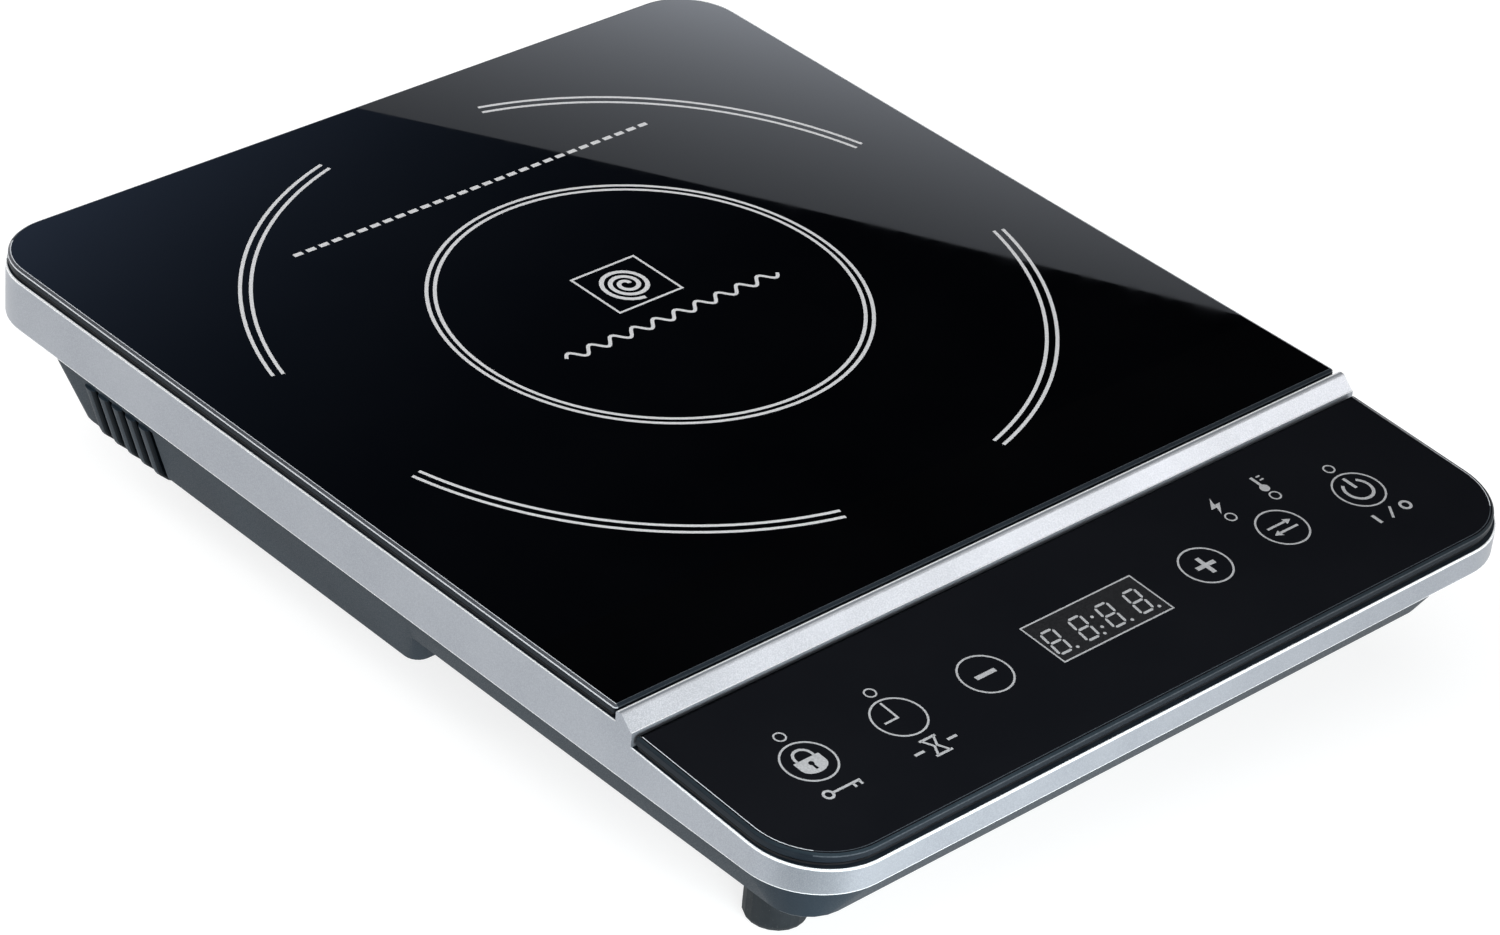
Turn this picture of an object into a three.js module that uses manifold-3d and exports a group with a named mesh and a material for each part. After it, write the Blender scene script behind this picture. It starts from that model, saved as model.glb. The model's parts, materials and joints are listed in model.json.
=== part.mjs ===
// Portable electric induction cooktop: a square cooking glass and a sloping control glass on one
// silver frame, over a black bottom casing that holds the coil, the fan and the power board.
// Millimetres, +Z up, -Y is the front (the control side), +X is the user's right.
// The origin is on the worktop, under the middle of the whole object.
import * as THREE from 'three';
import { mergeVertices } from 'three/addons/utils/BufferGeometryUtils.js';
import Module from 'manifold-3d';

const wasm = await Module();
wasm.setup();

// ---------------------------------------------------------------- driving dimensions
const WIDTH = 280;
const DEPTH = 356;
const HEIGHT = 63;
const LEFT = -WIDTH / 2;
const RIGHT = WIDTH / 2;
const FRONT = -DEPTH / 2;
const REAR = DEPTH / 2;
const GAP = 0.3;
const ROUND_STEPS = 6;

const GLASS_THICKNESS = 3.2;
const GLASS_CHAMFER = 0.7;
const GLASS_INSET = 0.6;
const SEAL_THICKNESS = 0.65;
const SEAL_INSET = 1.1;

const BAND_TOP = HEIGHT - GLASS_THICKNESS - SEAL_THICKNESS - 0.1;
const BAND_BOTTOM = 42.8;
const BAND_WALL = 2.4;
const SHELF = 2.6;
const FRONT_CORNER = 23.5;
const REAR_CORNER = 20.8;

const BAR_BACK = -102.8;
const BAR_FRONT = -109.3;
const BAR_TOP = HEIGHT - 0.3;
const BAR_SLOPE_FOOT = 58.8;
const BAR_UNDERSIDE = 50;
const COOKING_FRONT = -101.9;

const DECK_REAR = -109.9;
const DECK_HEIGHT = 58.5;
const DECK_TILT = Math.atan(0.0547);
const DECK_LENGTH = 67;

const RING_CENTRE = 41;
const CASING_TOP = BAND_BOTTOM - GAP;
const CASING_INSET = 1;
const CASING_WALL = 2.2;
const FLANGE = 1.5;
const FLANGE_INSET = 3;
const TRAY_FLOOR = 32.3;
const TRAY_RIGHT = 105;
const TRAY_CORNER = 11.5;
const TUB_FLOOR = 18.8;
const TUB_REAR = 148;
const TUB_EDGE = 5;
const TUB_LEAN = 0.325;
const TUB_FRONT_AT_TRAY = -19;
const TUB_FRONT_LEAN = 0.35;

const LOUVRE_PITCH = 6.33;
const LOUVRE_WIDTH = 1.8;
const LOUVRE_FIRST = 96.6;
const SIDE_LOUVRES = 5;
const RIB_BULGE = 0.9;
const REAR_LOUVRES = 9;

const FOOT_RADIUS = 9;
const FEET = {
  front_left_foot: { x: -105.6, y: -133.9, top: TRAY_FLOOR },
  front_right_foot: { x: 92, y: -133.9, top: TRAY_FLOOR },
  rear_left_foot: { x: -100, y: 108, top: TUB_FLOOR },
  rear_right_foot: { x: 100, y: 108, top: TUB_FLOOR },
};
const FRONT_POST = { y: -160, top: 43.5, floor: TRAY_FLOOR };
const REAR_POST = { y: 122, top: 46, floor: TUB_FLOOR };
const CASING_POSTS = [
  { x: -122, ...FRONT_POST },
  { x: 97, ...FRONT_POST },
  { x: -118, ...REAR_POST },
  { x: 118, ...REAR_POST },
];
const POST_RADIUS = 4.5;
const SCREW_HEAD = 3;
const SCREW_SEAT = 38;
const SCREW_SHANK = 1.5;

const COIL_TURNS = 10;
const COIL_INNER = 36;
const COIL_OUTER = 91;
const COIL_BOTTOM = 55.3;
const COIL_HEIGHT = 3.2;
const CARRIER_BOTTOM = 52.3;
const CARRIER_THICKNESS = 2.7;
const CARRIER_EAR = 100;
const FERRITE_COUNT = 6;
const EAR_ANGLES = [90, 210, 330];

const FAN_SIZE = 80;
const FAN_HEIGHT = 15;
const FAN_BASE = 22.5;
const FAN_X = 66;
const FAN_Y = 70;
const FAN_BORE = 37.5;
const BLADES = 9;

const BOARD_BOTTOM = 24;
const BOARD_TOP = 25.6;
const PART_BASE = BOARD_TOP + GAP;

const KEY_ROW = -142.8;
const LAMP_ROW = -131.3;
const KEYS = { lock: -108.7, timer: -76.5, minus: -44.5, plus: 41.3, mode: 72.9, power: 105.1 };
const LAMPS = { lock: -108.7, timer: -76.5, watts: 63.9, heat: 82.4, on: 105.1 };
const CONTROL_BOARD = { top: -11.7, thickness: 1.6, left: -115, right: 112, front: -44, rear: -11 };

const CORD_RADIUS = 3.7;
const GLAND = { x: -40, z: 31, radius: 6.2, flange: 8.5 };

// ---------------------------------------------------------------- materials
const finish = (color, roughness, metalness = 0) =>
  new THREE.MeshStandardMaterial({ color, roughness, metalness });
const blackGlass = finish(0x0b0d12, 0.06);
const silver = finish(0xaeb3ba, 0.38, 0.6);
const casingPlastic = finish(0x30353c, 0.55);
const rubber = finish(0x1b1d20, 0.85);
const silicone = finish(0x101114, 0.7);
const whitePlastic = finish(0xd9d6cc, 0.6);
const copper = finish(0xb8683a, 0.35, 0.9);
const ferrite = finish(0x3b3b3f, 0.7);
const mica = finish(0xc9b68c, 0.6);
const steel = finish(0xb5b8bc, 0.3, 1);
const aluminium = finish(0xc4c7ca, 0.35, 1);
const board = finish(0x9a7440, 0.6);
const greenBoard = finish(0x1e5b38, 0.5);
const blackPlastic = finish(0x141518, 0.5);
const filmCase = finish(0xc9a227, 0.5);
const lampRed = finish(0xc23a2e, 0.3);
const wireJacket = finish(0xd8d8d4, 0.5);

// ---------------------------------------------------------------- geometry helpers
const radians = THREE.MathUtils.degToRad;

// A closed surface through rings of equal point counts, with a flat cap at each end.
function loft(rings) {
  const count = rings[0].length;
  const points = rings.flat();
  const faces = [];
  const last = (rings.length - 1) * count;
  for (let row = 0; row < rings.length - 1; row += 1) {
    for (let i = 0; i < count; i += 1) {
      const a = row * count + i;
      const b = row * count + (i + 1) % count;
      faces.push(a, b, b + count, a, b + count, a + count);
    }
  }
  for (let i = 1; i < count - 1; i += 1) {
    faces.push(0, i + 1, i);
    faces.push(last, last + i, last + i + 1);
  }
  const geometry = new THREE.BufferGeometry().setFromPoints(points);
  geometry.setIndex(signedVolume(points, faces) < 0 ? faces.reverse() : faces);
  return geometry;
}

function signedVolume(points, faces) {
  let sum = 0;
  const edge = new THREE.Vector3();
  for (let i = 0; i < faces.length; i += 3) {
    edge.crossVectors(points[faces[i + 1]], points[faces[i + 2]]);
    sum += points[faces[i]].dot(edge);
  }
  return sum;
}

function toSolid(geometry) {
  const bare = geometry.clone();
  bare.deleteAttribute('normal');
  bare.deleteAttribute('uv');
  const merged = mergeVertices(bare, 1e-4);
  return new wasm.Manifold(new wasm.Mesh({
    numProp: 3,
    vertProperties: new Float32Array(merged.attributes.position.array),
    triVerts: new Uint32Array(merged.index.array),
  }));
}

function toGeometry(solid) {
  const mesh = solid.getMesh();
  const geometry = new THREE.BufferGeometry();
  geometry.setAttribute('position', new THREE.BufferAttribute(mesh.vertProperties, 3));
  geometry.setIndex(new THREE.BufferAttribute(mesh.triVerts, 1));
  return geometry;
}

function combine(base, added = [], removed = []) {
  let solid = toSolid(base);
  added.forEach((extra) => { solid = solid.add(toSolid(extra)); });
  removed.forEach((cut) => { solid = solid.subtract(toSolid(cut)); });
  return toGeometry(solid);
}

const prism = (shape, bottom, top, curveSegments = ROUND_STEPS) =>
  new THREE.ExtrudeGeometry(shape, { depth: top - bottom, bevelEnabled: false, curveSegments })
    .translate(0, 0, bottom);

const block = (x0, x1, y0, y1, z0, z1) =>
  new THREE.BoxGeometry(x1 - x0, y1 - y0, z1 - z0)
    .translate((x0 + x1) / 2, (y0 + y1) / 2, (z0 + z1) / 2);

const rod = (x, y, bottom, top, radius, sides = 16) =>
  new THREE.CylinderGeometry(radius, radius, top - bottom, sides)
    .rotateX(Math.PI / 2)
    .translate(x, y, (bottom + top) / 2);

// Turns a profile of [radius, height] pairs about the vertical axis.
function turned(profile, sides) {
  const points = profile.map(([radius, height]) => new THREE.Vector2(radius, height));
  return new THREE.LatheGeometry(points, sides).rotateX(Math.PI / 2);
}

// An upright tube from inner to outer radius.
const tube = (inner, outer, bottom, top, sides) => turned(
  [[inner, bottom], [outer, bottom], [outer, top], [inner, top], [inner, bottom]],
  sides,
);

// A rectangle whose corners are rounded by radii given as front left, front right, rear right, rear left.
function roundedShape(x0, x1, y0, y1, radii) {
  const [frontLeft, frontRight, rearRight, rearLeft] = radii;
  const shape = new THREE.Shape();
  const corner = (x, y, radius, start) =>
    shape.absarc(x, y, radius, radians(start), radians(start + 90), false);
  corner(x0 + frontLeft, y0 + frontLeft, frontLeft, 180);
  corner(x1 - frontRight, y0 + frontRight, frontRight, 270);
  corner(x1 - rearRight, y1 - rearRight, rearRight, 0);
  corner(x0 + rearLeft, y1 - rearLeft, rearLeft, 90);
  return shape;
}

// The same outline as a ring of points at one height, for lofting.
function roundedRing(x0, x1, y0, y1, radii, z) {
  const [frontLeft, frontRight, rearRight, rearLeft] = radii;
  const ring = [];
  const corner = (x, y, radius, start) => {
    for (let step = 0; step <= ROUND_STEPS; step += 1) {
      const angle = radians(start + 90 * step / ROUND_STEPS);
      ring.push(new THREE.Vector3(x + radius * Math.cos(angle), y + radius * Math.sin(angle), z));
    }
  };
  corner(x0 + frontLeft, y0 + frontLeft, frontLeft, 180);
  corner(x1 - frontRight, y0 + frontRight, frontRight, 270);
  corner(x1 - rearRight, y1 - rearRight, rearRight, 0);
  corner(x0 + rearLeft, y1 - rearLeft, rearLeft, 90);
  return ring;
}

// A winding about the vertical axis through (x, y): radius and height run from start to end.
function winding({ x, y, turns, startRadius, endRadius, startZ, endZ, section, stepsPerTurn }) {
  const rings = [];
  const steps = Math.round(turns * stepsPerTurn);
  for (let step = 0; step <= steps; step += 1) {
    const along = step / steps;
    const angle = 2 * Math.PI * step / stepsPerTurn;
    const radius = startRadius + (endRadius - startRadius) * along;
    const z = startZ + (endZ - startZ) * along;
    rings.push(section.map(([out, up]) => new THREE.Vector3(
      x + (radius + out) * Math.cos(angle),
      y + (radius + out) * Math.sin(angle),
      z + up,
    )));
  }
  return loft(rings);
}

// A round wire or lead along hand-placed points.
function lead(points, radius, steps, sides = 6) {
  const section = new THREE.Shape();
  for (let side = 0; side < sides; side += 1) {
    const angle = 2 * Math.PI * side / sides;
    const corner = [radius * Math.cos(angle), radius * Math.sin(angle)];
    if (side === 0) section.moveTo(...corner);
    else section.lineTo(...corner);
  }
  const path = new THREE.CatmullRomCurve3(points.map((point) => new THREE.Vector3(...point)));
  return new THREE.ExtrudeGeometry(section, { steps, extrudePath: path });
}

// ---------------------------------------------------------------- scene graph
const cooktop = new THREE.Group();
const deck = new THREE.Group();
deck.position.set(0, DECK_REAR, DECK_HEIGHT);
deck.rotation.x = DECK_TILT;
cooktop.add(deck);

function piece(name, geometry, material, parent = cooktop) {
  const mesh = new THREE.Mesh(geometry, material);
  mesh.name = name;
  parent.add(mesh);
  return mesh;
}

// ---------------------------------------------------------------- glass plates and seals
function chamferedPlate(shape, thickness, chamfer) {
  return new THREE.ExtrudeGeometry(shape, {
    depth: thickness - 2 * chamfer,
    bevelThickness: chamfer,
    bevelSize: chamfer,
    bevelOffset: -chamfer,
    bevelSegments: 1,
    curveSegments: 8,
  }).translate(0, 0, chamfer);
}

function addCookingGlass() {
  const corner = REAR_CORNER - GLASS_INSET;
  const shape = roundedShape(
    LEFT + GLASS_INSET,
    RIGHT - GLASS_INSET,
    COOKING_FRONT,
    REAR - GLASS_INSET,
    [1, 1, corner, corner],
  );
  const plate = chamferedPlate(shape, GLASS_THICKNESS, GLASS_CHAMFER);
  plate.translate(0, 0, HEIGHT - GLASS_THICKNESS);
  piece('cooktop_glass', plate, blackGlass);

  const sealCorner = REAR_CORNER - SEAL_INSET;
  const seal = roundedShape(
    LEFT + SEAL_INSET,
    RIGHT - SEAL_INSET,
    COOKING_FRONT + 1,
    REAR - SEAL_INSET,
    [1, 1, sealCorner, sealCorner],
  );
  seal.holes.push(roundedShape(LEFT + 14, RIGHT - 14, COOKING_FRONT + 14, REAR - 14, [3, 3, 9, 9]));
  const bottom = BAND_TOP + 0.05;
  piece('cooktop_glass_seal', prism(seal, bottom, bottom + SEAL_THICKNESS), silicone);
}

function addControlGlass() {
  const corner = FRONT_CORNER - GLASS_INSET;
  const shape = roundedShape(
    LEFT + GLASS_INSET,
    RIGHT - GLASS_INSET,
    -DECK_LENGTH,
    0,
    [corner, corner, 1, 1],
  );
  const plate = chamferedPlate(shape, GLASS_THICKNESS, GLASS_CHAMFER);
  plate.translate(0, 0, -GLASS_THICKNESS);
  piece('control_glass', plate, blackGlass, deck);

  const sealCorner = FRONT_CORNER - SEAL_INSET;
  const seal = roundedShape(
    LEFT + SEAL_INSET,
    RIGHT - SEAL_INSET,
    -DECK_LENGTH + 0.5,
    -0.5,
    [sealCorner, sealCorner, 1, 1],
  );
  seal.holes.push(roundedShape(LEFT + 16, RIGHT - 16, -DECK_LENGTH + 16, -6.5, [9, 9, 3, 3]));
  const top = -GLASS_THICKNESS - 0.05;
  piece('control_glass_seal', prism(seal, top - SEAL_THICKNESS, top), silicone, deck);
}

// ---------------------------------------------------------------- silver frame
// The frame's section across the object, as [y, z] corners, made into a bar along X.
function crossSection(corners, halfWidth) {
  const shape = new THREE.Shape(corners.map(([y, z]) => new THREE.Vector2(y, z)));
  const bar = new THREE.ExtrudeGeometry(shape, { depth: 2 * halfWidth, bevelEnabled: false });
  return bar.rotateX(Math.PI / 2).rotateZ(Math.PI / 2).translate(-halfWidth, 0, 0);
}

const deckZ = (y, below) => DECK_HEIGHT + (y - DECK_REAR) * Math.tan(DECK_TILT) - below;

function addTopFrame() {
  const outline = roundedShape(
    LEFT, RIGHT, FRONT, REAR, [FRONT_CORNER, FRONT_CORNER, REAR_CORNER, REAR_CORNER],
  );
  const deckDrop = GLASS_THICKNESS + SEAL_THICKNESS + 0.15;
  const overDeck = crossSection([
    [FRONT - 5, deckZ(FRONT - 5, deckDrop)],
    [BAR_FRONT, deckZ(BAR_FRONT, deckDrop)],
    [BAR_FRONT, HEIGHT + 5],
    [FRONT - 5, HEIGHT + 5],
  ], RIGHT + 5);
  const dividerBar = crossSection([
    [BAR_BACK, BAR_UNDERSIDE],
    [BAR_BACK, BAR_TOP - 0.5],
    [BAR_BACK - 0.5, BAR_TOP],
    [BAR_BACK - 2.2, BAR_TOP],
    [BAR_FRONT + 0.2, BAR_SLOPE_FOOT],
    [BAR_FRONT, BAR_SLOPE_FOOT - 0.4],
    [BAR_FRONT, BAR_UNDERSIDE],
  ], RIGHT);
  const innerOutline = roundedShape(
    LEFT + BAND_WALL,
    RIGHT - BAND_WALL,
    FRONT + BAND_WALL,
    REAR - BAND_WALL,
    [FRONT_CORNER - BAND_WALL, FRONT_CORNER - BAND_WALL,
      REAR_CORNER - BAND_WALL, REAR_CORNER - BAND_WALL],
  );
  const hollowProfile = crossSection([
    [FRONT - 5, BAND_BOTTOM - 5],
    [REAR + 5, BAND_BOTTOM - 5],
    [REAR + 5, BAND_TOP - SHELF],
    [BAR_BACK + 5, BAND_TOP - SHELF],
    [BAR_BACK + 5, BAR_UNDERSIDE],
    [BAR_FRONT - 4, BAR_UNDERSIDE],
    [BAR_FRONT - 4, deckZ(BAR_FRONT - 4, deckDrop + SHELF)],
    [FRONT - 5, deckZ(FRONT - 5, deckDrop + SHELF)],
  ], RIGHT + 5);
  const hollow = toSolid(prism(innerOutline, BAND_BOTTOM - 5, HEIGHT))
    .intersect(toSolid(hollowProfile));
  const coilOpening = prism(roundedShape(-112, 112, -80, 150, [6, 6, 6, 6]), 45, HEIGHT + 1);
  const keyOpening = prism(roundedShape(-118, 115, -154.5, -118, [5, 5, 5, 5]), 40, HEIGHT + 1);

  let solid = toSolid(prism(outline, BAND_BOTTOM, BAND_TOP, 8));
  solid = solid.subtract(toSolid(overDeck)).add(toSolid(dividerBar)).subtract(hollow);
  solid = solid.subtract(toSolid(coilOpening)).subtract(toSolid(keyOpening));
  CASING_POSTS.forEach(({ x, y, top, floor }) => {
    const shelfUnderside = floor === TRAY_FLOOR ? deckZ(y, deckDrop + SHELF) : BAND_TOP - SHELF;
    solid = solid.add(toSolid(rod(x, y, top + GAP, shelfUnderside + 1, 4, 10)));
    solid = solid.subtract(toSolid(rod(x, y, top - 1, shelfUnderside - 0.5, 1.8, 8)));
  });
  piece('top_frame', toGeometry(solid), silver);
}

// ---------------------------------------------------------------- bottom casing
// The tub's outline at one height, moved inwards by inset on every side.
function tubRing(z, inset) {
  const drop = CASING_TOP - z;
  const side = CASING_INSET + TUB_LEAN * drop + inset;
  const front = TUB_FRONT_AT_TRAY + TUB_FRONT_LEAN * (TRAY_FLOOR - z) + inset;
  const rear = TUB_REAR - TUB_LEAN * drop - inset;
  return roundedRing(LEFT + side, RIGHT - side, front, rear, [4.5, 4.5, 9, 9], z);
}

// The tub walls with a rounded bottom edge; the inner surface is the outer one moved by the wall.
function tubSurface(wall, top) {
  const radius = TUB_EDGE - wall / 2;
  const floor = TUB_FLOOR + wall;
  const rings = [tubRing(top, wall)];
  for (const angle of [20, 55, 90]) {
    const z = floor + radius * (1 - Math.sin(radians(angle)));
    rings.push(tubRing(z, wall + radius * (1 - Math.cos(radians(angle)))));
  }
  return loft(rings);
}

// The shallow tray under the controls, which stops short of the right side.
function traySurface(wall, top) {
  const floor = TRAY_FLOOR + wall;
  const upper = CASING_INSET + wall;
  return loft([
    roundedRing(LEFT + upper, TRAY_RIGHT + 4 - wall, FRONT + upper, 20,
      [FRONT_CORNER - upper, 8, 4, 4], top),
    roundedRing(LEFT + 4.8 + wall, TRAY_RIGHT + 0.6 - wall, FRONT + 6.3 + wall, 16,
      [TRAY_CORNER + 1, 6.5, 4, 4], floor + 0.9),
    roundedRing(LEFT + 5.7 + wall, TRAY_RIGHT - wall, FRONT + 7.4 + wall, 15,
      [TRAY_CORNER, 6, 4, 4], floor),
  ]);
}

function flangeSurface() {
  const rings = [CASING_TOP, CASING_TOP - FLANGE].map((z, row) => {
    const inset = FLANGE_INSET + row * 0.5;
    const front = FRONT_CORNER - inset;
    const rear = REAR_CORNER - inset;
    return roundedRing(
      LEFT + inset, RIGHT - inset, FRONT + inset, REAR - inset, [front, front, rear, rear], z,
    );
  });
  return loft(rings);
}

// A rounded rib behind each side slot. It follows the wall down and round the bottom edge.
function louvreRib(y, side) {
  const halfWidth = (LOUVRE_PITCH - LOUVRE_WIDTH) / 2 + 0.15;
  const lean = Math.atan(TUB_LEAN);
  const top = CASING_TOP - FLANGE - 1.5;
  const wallX = (z) => LEFT + CASING_INSET + TUB_LEAN * (CASING_TOP - z);
  const bend = TUB_FLOOR + TUB_EDGE;
  const stations = [
    { x: wallX(top), z: top, turn: lean },
    { x: wallX(bend), z: bend, turn: lean },
  ];
  for (const angle of [20, 55, 90]) {
    const z = TUB_FLOOR + TUB_EDGE * (1 - Math.sin(radians(angle)));
    const x = wallX(z) + TUB_EDGE * (1 - Math.cos(radians(angle)));
    stations.push({ x, z, turn: Math.min(radians(angle) + lean / 2, Math.PI / 2) });
  }
  const last = stations[stations.length - 1];
  stations.push({ x: last.x + 4, z: last.z, turn: last.turn });
  const rings = stations.map(({ x, z, turn }) => {
    const ring = [];
    for (let i = 0; i < 12; i += 1) {
      const angle = radians(i * 30);
      const out = RIB_BULGE * Math.sin(angle);
      ring.push(new THREE.Vector3(
        side * (x - out * Math.cos(turn)),
        y + halfWidth * Math.cos(angle),
        z - out * Math.sin(turn),
      ));
    }
    return ring;
  });
  return loft(rings);
}

// Vertical slots through the side and rear walls, and slots in the floor under the fan.
function ventCutters() {
  const cutters = [];
  const half = LOUVRE_WIDTH / 2;
  const low = TUB_FLOOR - 3;
  const high = CASING_TOP - FLANGE - 1;
  for (let i = 0; i < SIDE_LOUVRES; i += 1) {
    const y = LOUVRE_FIRST + i * LOUVRE_PITCH;
    cutters.push(block(LEFT - 2, LEFT + 13.5, y - half, y + half, low, high));
    cutters.push(block(RIGHT - 13.5, RIGHT + 2, y - half, y + half, low, high));
  }
  for (let i = 0; i < REAR_LOUVRES; i += 1) {
    const x = FAN_X + (i - (REAR_LOUVRES - 1) / 2) * LOUVRE_PITCH;
    cutters.push(block(x - half - 0.6, x + half + 0.6, 134.5, REAR, low + 8, high));
  }
  for (let i = -3; i <= 3; i += 1) {
    const x = FAN_X + i * 9;
    const reach = Math.sqrt(36 ** 2 - (i * 9) ** 2) - 1;
    cutters.push(block(x - 2, x + 2, FAN_Y - reach, FAN_Y + reach, low, TUB_FLOOR + 4));
  }
  return cutters;
}

const earPosition = (degrees, radius = CARRIER_EAR) => ({
  x: radius * Math.cos(radians(degrees)),
  y: RING_CENTRE + radius * Math.sin(radians(degrees)),
});

const glandAngle = Math.atan(TUB_LEAN);
const glandY = TUB_REAR - TUB_LEAN * (CASING_TOP - GLAND.z);

function addLowerCasing() {
  let solid = toSolid(flangeSurface());
  solid = solid.add(toSolid(traySurface(0, CASING_TOP))).add(toSolid(tubSurface(0, CASING_TOP)));
  solid = solid.subtract(toSolid(traySurface(CASING_WALL, CASING_TOP + 2)));
  solid = solid.subtract(toSolid(tubSurface(CASING_WALL, CASING_TOP + 2)));
  ventCutters().forEach((cutter) => { solid = solid.subtract(toSolid(cutter)); });
  for (let i = 0; i < SIDE_LOUVRES; i += 1) {
    const y = LOUVRE_FIRST + (i + 0.5) * LOUVRE_PITCH;
    solid = solid.add(toSolid(louvreRib(y, 1))).add(toSolid(louvreRib(y, -1)));
  }

  CASING_POSTS.forEach(({ x, y, top, floor }) => {
    solid = solid.add(toSolid(rod(x, y, floor + 1, top, POST_RADIUS, 12)));
    solid = solid.subtract(toSolid(rod(x, y, floor - 1, SCREW_SEAT, SCREW_HEAD + 0.25, 12)));
    solid = solid.subtract(toSolid(rod(x, y, floor - 1, top + 1, SCREW_SHANK + 0.35, 8)));
  });
  EAR_ANGLES.forEach((degrees) => {
    const { x, y } = earPosition(degrees);
    const foot = y > RING_CENTRE ? 33.5 : TUB_FLOOR + 1.5;
    solid = solid.add(toSolid(rod(x, y, foot, CARRIER_BOTTOM - GAP, 3.6, 12)));
    solid = solid.subtract(toSolid(rod(x, y, 42, CARRIER_BOTTOM + 1, 1.5, 8)));
  });
  [[-110, 10], [10, 10], [-110, 104], [10, 104]].forEach(([x, y]) => {
    solid = solid.add(toSolid(rod(x, y, TUB_FLOOR + 1, BOARD_BOTTOM - GAP, 3, 8)));
  });
  Object.values(FEET).forEach(({ x, y, top }) => {
    solid = solid.subtract(toSolid(rod(x, y, top - 2, top + 5, 3.9, 12)));
  });
  const glandHole = rod(0, 0, -8, 8, GLAND.radius + GAP, 16)
    .rotateX(-Math.PI / 2 - glandAngle)
    .translate(GLAND.x, glandY, GLAND.z);
  solid = solid.subtract(toSolid(glandHole));
  piece('lower_casing', toGeometry(solid), casingPlastic);
}

function addFeet() {
  for (const [name, { x, y, top }] of Object.entries(FEET)) {
    const foot = turned([
      [0, 0], [FOOT_RADIUS - 1.6, 0], [FOOT_RADIUS - 0.5, 0.5], [FOOT_RADIUS, 1.6],
      [FOOT_RADIUS, top - GAP], [3.5, top - GAP], [3.5, top + 2.6], [0, top + 2.6],
    ], 20);
    piece(name, foot, rubber).position.set(x, y, 0);
  }
}

const screw = (head, headHeight, shank, length) => turned([
  [0, -headHeight], [head * 0.7, -headHeight], [head, -headHeight * 0.4], [head, 0],
  [shank, 0], [shank, length - 1], [0, length],
], 8);

function addScrews() {
  CASING_POSTS.forEach(({ x, y, floor }, index) => {
    const length = floor === TRAY_FLOOR ? 9.5 : 15;
    const fastener = piece(`casing_screw_${index + 1}`, screw(SCREW_HEAD, 2, SCREW_SHANK, length), steel);
    fastener.position.set(x, y, SCREW_SEAT - 0.1);
  });
  EAR_ANGLES.forEach((degrees, index) => {
    const { x, y } = earPosition(degrees);
    const fastener = piece(`coil_screw_${index + 1}`, screw(2.7, 1.8, 1.25, 11), steel);
    fastener.rotation.x = Math.PI;
    fastener.position.set(x, y, CARRIER_BOTTOM + CARRIER_THICKNESS + 0.1);
  });
}

function addCordGland() {
  const { radius, flange } = GLAND;
  const gland = turned([
    [CORD_RADIUS, -6], [radius - 0.8, -6], [radius, -3], [radius, GAP], [flange, GAP],
    [flange, 2], [flange - 1, 3], [CORD_RADIUS + 1, 3], [CORD_RADIUS, 2], [CORD_RADIUS, -6],
  ], 14);
  const mesh = piece('cord_gland', gland, rubber);
  mesh.rotation.x = -Math.PI / 2 - glandAngle;
  mesh.position.set(GLAND.x, glandY, GLAND.z);
}

// ---------------------------------------------------------------- coil
function addCoil() {
  const half = (COIL_OUTER - COIL_INNER) / COIL_TURNS / 2 - 0.35;
  const coil = winding({
    x: 0,
    y: RING_CENTRE,
    turns: COIL_TURNS,
    startRadius: COIL_INNER,
    endRadius: COIL_OUTER,
    startZ: COIL_BOTTOM,
    endZ: COIL_BOTTOM,
    section: [[-half, 0], [half, 0], [half, COIL_HEIGHT], [-half, COIL_HEIGHT]],
    stepsPerTurn: 14,
  });
  piece('induction_coil', coil, copper);

  const bottom = CARRIER_BOTTOM;
  const top = bottom + CARRIER_THICKNESS;
  const additions = [tube(8.4, COIL_INNER + 1, bottom, top, 22)];
  for (let i = 0; i < FERRITE_COUNT; i += 1) {
    const spoke = block(20, COIL_OUTER - 2, -6.5, 6.5, bottom, top);
    additions.push(spoke.rotateZ(2 * Math.PI * i / FERRITE_COUNT));
  }
  EAR_ANGLES.forEach((degrees) => {
    additions.push(block(COIL_OUTER - 5, CARRIER_EAR, -4, 4, bottom, top).rotateZ(radians(degrees)));
    additions.push(rod(CARRIER_EAR, 0, bottom, top, 4, 10).rotateZ(radians(degrees)));
  });
  const holes = EAR_ANGLES.map((degrees) =>
    rod(CARRIER_EAR, 0, bottom - 1, top + 1, 1.6, 8).rotateZ(radians(degrees)));
  holes.push(rod(22, -13, bottom - 1, top + 1, 3, 10));
  const carrier = combine(tube(COIL_OUTER - 8, COIL_OUTER + 2, bottom, top, 32), additions, holes);
  piece('coil_carrier', carrier, whitePlastic).position.y = RING_CENTRE;

  for (let i = 0; i < FERRITE_COUNT; i += 1) {
    const bar = piece(`ferrite_bar_${i + 1}`, block(32, 84, -6, 6, bottom - 4.5, bottom - GAP), ferrite);
    bar.rotation.z = 2 * Math.PI * i / FERRITE_COUNT;
    bar.position.y = RING_CENTRE;
  }

  const sheet = tube(9.5, COIL_OUTER + 3, 58.95, 59.5, 28);
  piece('mica_sheet', sheet, mica).position.y = RING_CENTRE;

  const sensor = turned([
    [0, 49.5], [11, 49.5], [11, bottom - GAP], [7.8, bottom - GAP], [7.8, 57.5],
    [7, 59.2], [5, 59.6], [0, 59.6],
  ], 14);
  piece('glass_sensor', sensor, silicone).position.y = RING_CENTRE;
}

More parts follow.
